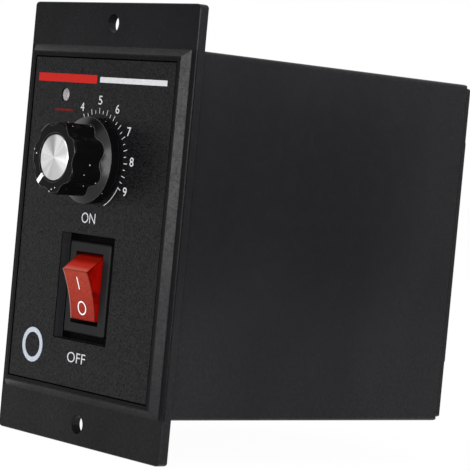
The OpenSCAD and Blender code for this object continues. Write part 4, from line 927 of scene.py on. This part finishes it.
class CONTROLLER_OT_stage(bpy.types.Operator):
    """Set up the floor, the background, the lamps, the two dark cards and the camera"""

    bl_idname = "controller.stage"
    bl_label = "Stage"

    floor_size: length_setting("Floor size", "Width of the floor", 6000)
    floor_gap: length_setting("Floor gap", "Distance of the floor below the object", 0.05)
    floor_glow: number_setting("Floor glow", "Strength of the white that the floor shows", 1.04)
    floor_white: number_setting("Floor white", "Share of that white, the rest being the lit floor", 0.93)
    fill: number_setting("Fill", "Strength of the light from all round", 0.5)
    softbox: number_setting("Softbox", "Power of the lamp beside the camera, in watts", 5.8)
    top_box: number_setting("Top box", "Power of the lamp above the front, in watts", 0.8)
    side_box: number_setting("Side box", "Power of the wide lamp on the right, in watts", 6.0)
    strip: number_setting("Strip", "Power of the small lamp before the knob, in watts", 0.26)

    def sheet(self, name, size, place):
        """Adds a flat sheet of a size, laid in its place by a matrix."""
        made = bmesh.new()
        bmesh.ops.create_grid(made, x_segments=1, y_segments=1, size=0.5,
                              matrix=place @ Matrix.Diagonal((*size, 1, 1)))
        return shown_mesh(name, made)

    def floor(self):
        """Pale floor that takes shadows and shows nearly white."""
        low = CAD_BOX[0][2] - self.floor_gap
        shown = self.sheet("floor", (self.floor_size, self.floor_size), Matrix.Translation((0, 0, low)))
        made = Finish("floor_pale").set(Roughness=0.8, Specular_IOR_Level=0.1)
        made.set(Base_Color=made.mottled(made.noise(0.3), lighter(WHITE, 0.86), lighter(WHITE, 0.9)))
        glow = made.node("ShaderNodeEmission", Strength=self.floor_glow)
        share = made.times(made.shown_white(), self.floor_white)
        made.surface("Material Output", share, made.shader, glow)
        made.cover(shown)

    def background(self):
        """World that lights the object from all round and shows white."""
        world = bpy.data.worlds.new("studio")
        world.use_nodes = True
        bpy.context.scene.world = world
        made = Nodes(world.node_tree)
        light = made.tree.nodes["Background"]
        made.feed(light.inputs["Color"], WHITE)
        made.feed(light.inputs["Strength"], self.fill)
        white = made.node("ShaderNodeBackground", Color=WHITE)
        made.surface("World Output", made.shown_white(), light, white)

    def card(self, name, size, turn, distance, low):
        """Dark card that stands facing the object and only shows in reflections, its turn in degrees."""
        place = (Matrix.Rotation(math.radians(turn), 4, "Z")
                 @ Matrix.Translation((0, -distance, low + size[1] / 2))
                 @ Matrix.Rotation(QUARTER_TURN, 4, "X"))
        shown = self.sheet(name, size, place)
        made = Finish(name + "_black").set(Roughness=0.9, Specular_IOR_Level=0)
        made.set(Base_Color=made.mottled(made.noise(0.05), lighter(WHITE, 0.01), lighter(WHITE, 0.02)))
        made.cover(shown)
        for kind in ("camera", "diffuse", "shadow", "transmission"):
            setattr(shown, "visible_" + kind, False)

    def lamp(self, name, power, size, turn, rise, distance):
        """Square-cornered lamp that faces the object, its turn and rise in degrees."""
        data = bpy.data.lights.new(name, "AREA")
        data.shape = "RECTANGLE"
        data.size, data.size_y = size
        data.energy = power
        shown = bpy.data.objects.new(name, data)
        shown.visible_camera = False
        back = direction(math.radians(turn), math.radians(rise))
        turned = back.to_track_quat("Z", "Y").to_matrix().to_4x4()
        shown.matrix_world = Matrix.Translation(back * distance) @ turned
        bpy.context.scene.collection.objects.link(shown)

    def camera(self, view):
        """Camera that sees the object from where the photograph was taken."""
        back = direction(view.turn, view.rise)
        right = (-back).cross(Vector(UP)).normalized()
        up = right.cross(-back)
        across = math.cos(view.lean) * right + math.sin(view.lean) * up
        above = math.cos(view.lean) * up - math.sin(view.lean) * right
        data = bpy.data.cameras.new("camera")
        data.lens = view.focal * data.sensor_width
        data.shift_x = view.shift_x
        data.shift_y = view.shift_y
        data.clip_start = view.nearest
        shown = bpy.data.objects.new("camera", data)
        place = Vector((view.aim_x, 0, view.aim_z)) + back * view.distance
        shown.matrix_world = Matrix.Translation(place) @ Matrix((across, above, back)).transposed().to_4x4()
        bpy.context.scene.collection.objects.link(shown)
        bpy.context.scene.camera = shown

    def execute(self, context):
        _, _, view = settings()
        self.floor()
        self.background()
        self.lamp("softbox", self.softbox, size=(0.24, 0.34), turn=41, rise=1, distance=0.9)
        self.lamp("top_box", self.top_box, size=(0.4, 0.4), turn=12, rise=50, distance=0.9)
        self.lamp("strip", self.strip, size=(0.07, 0.12), turn=-7, rise=3, distance=0.25)
        self.lamp("side_box", self.side_box, size=(0.8, 0.6), turn=100, rise=6, distance=1.2)
        self.card("front_card", size=(0.4, 0.5), turn=-45, distance=0.6, low=0.08)
        self.card("side_card", size=(0.12, 0.06), turn=124, distance=0.185, low=-0.02)
        self.camera(view)
        context.scene.view_settings.view_transform = "Standard"
        return {"FINISHED"}


OPERATORS = (
    CONTROLLER_OT_case, CONTROLLER_OT_knob, CONTROLLER_OT_dial_scale, CONTROLLER_OT_label_marks,
    CONTROLLER_OT_switch, CONTROLLER_OT_lamp, CONTROLLER_OT_metal, CONTROLLER_OT_inside, CONTROLLER_OT_stage,
)


class CONTROLLER_PT_sidebar(bpy.types.Panel):
    """Lists the controller's pieces, sizes, colours and view"""

    bl_label = "Controller"
    bl_idname = "CONTROLLER_PT_sidebar"
    bl_space_type = "VIEW_3D"
    bl_region_type = "UI"
    bl_category = "Controller"

    def draw(self, context):
        for made in OPERATORS:
            self.layout.operator(made.bl_idname)
        for group in settings():
            for name in group.__annotations__:
                self.layout.prop(group, name)


CLASSES = (ControllerSizes, ControllerColours, ControllerView, *OPERATORS, CONTROLLER_PT_sidebar)


def register():
    for made in CLASSES:
        bpy.utils.register_class(made)
    bpy.types.Scene.controller_sizes = bpy.props.PointerProperty(type=ControllerSizes)
    bpy.types.Scene.controller_colours = bpy.props.PointerProperty(type=ControllerColours)
    bpy.types.Scene.controller_view = bpy.props.PointerProperty(type=ControllerView)


def unregister():
    for name in ("controller_sizes", "controller_colours", "controller_view"):
        delattr(bpy.types.Scene, name)
    for made in reversed(CLASSES):
        bpy.utils.unregister_class(made)


def main():
    register()
    for made in OPERATORS:
        group, name = made.bl_idname.split(".")
        getattr(getattr(bpy.ops, group), name)()


if __name__ == "__main__":
    main()
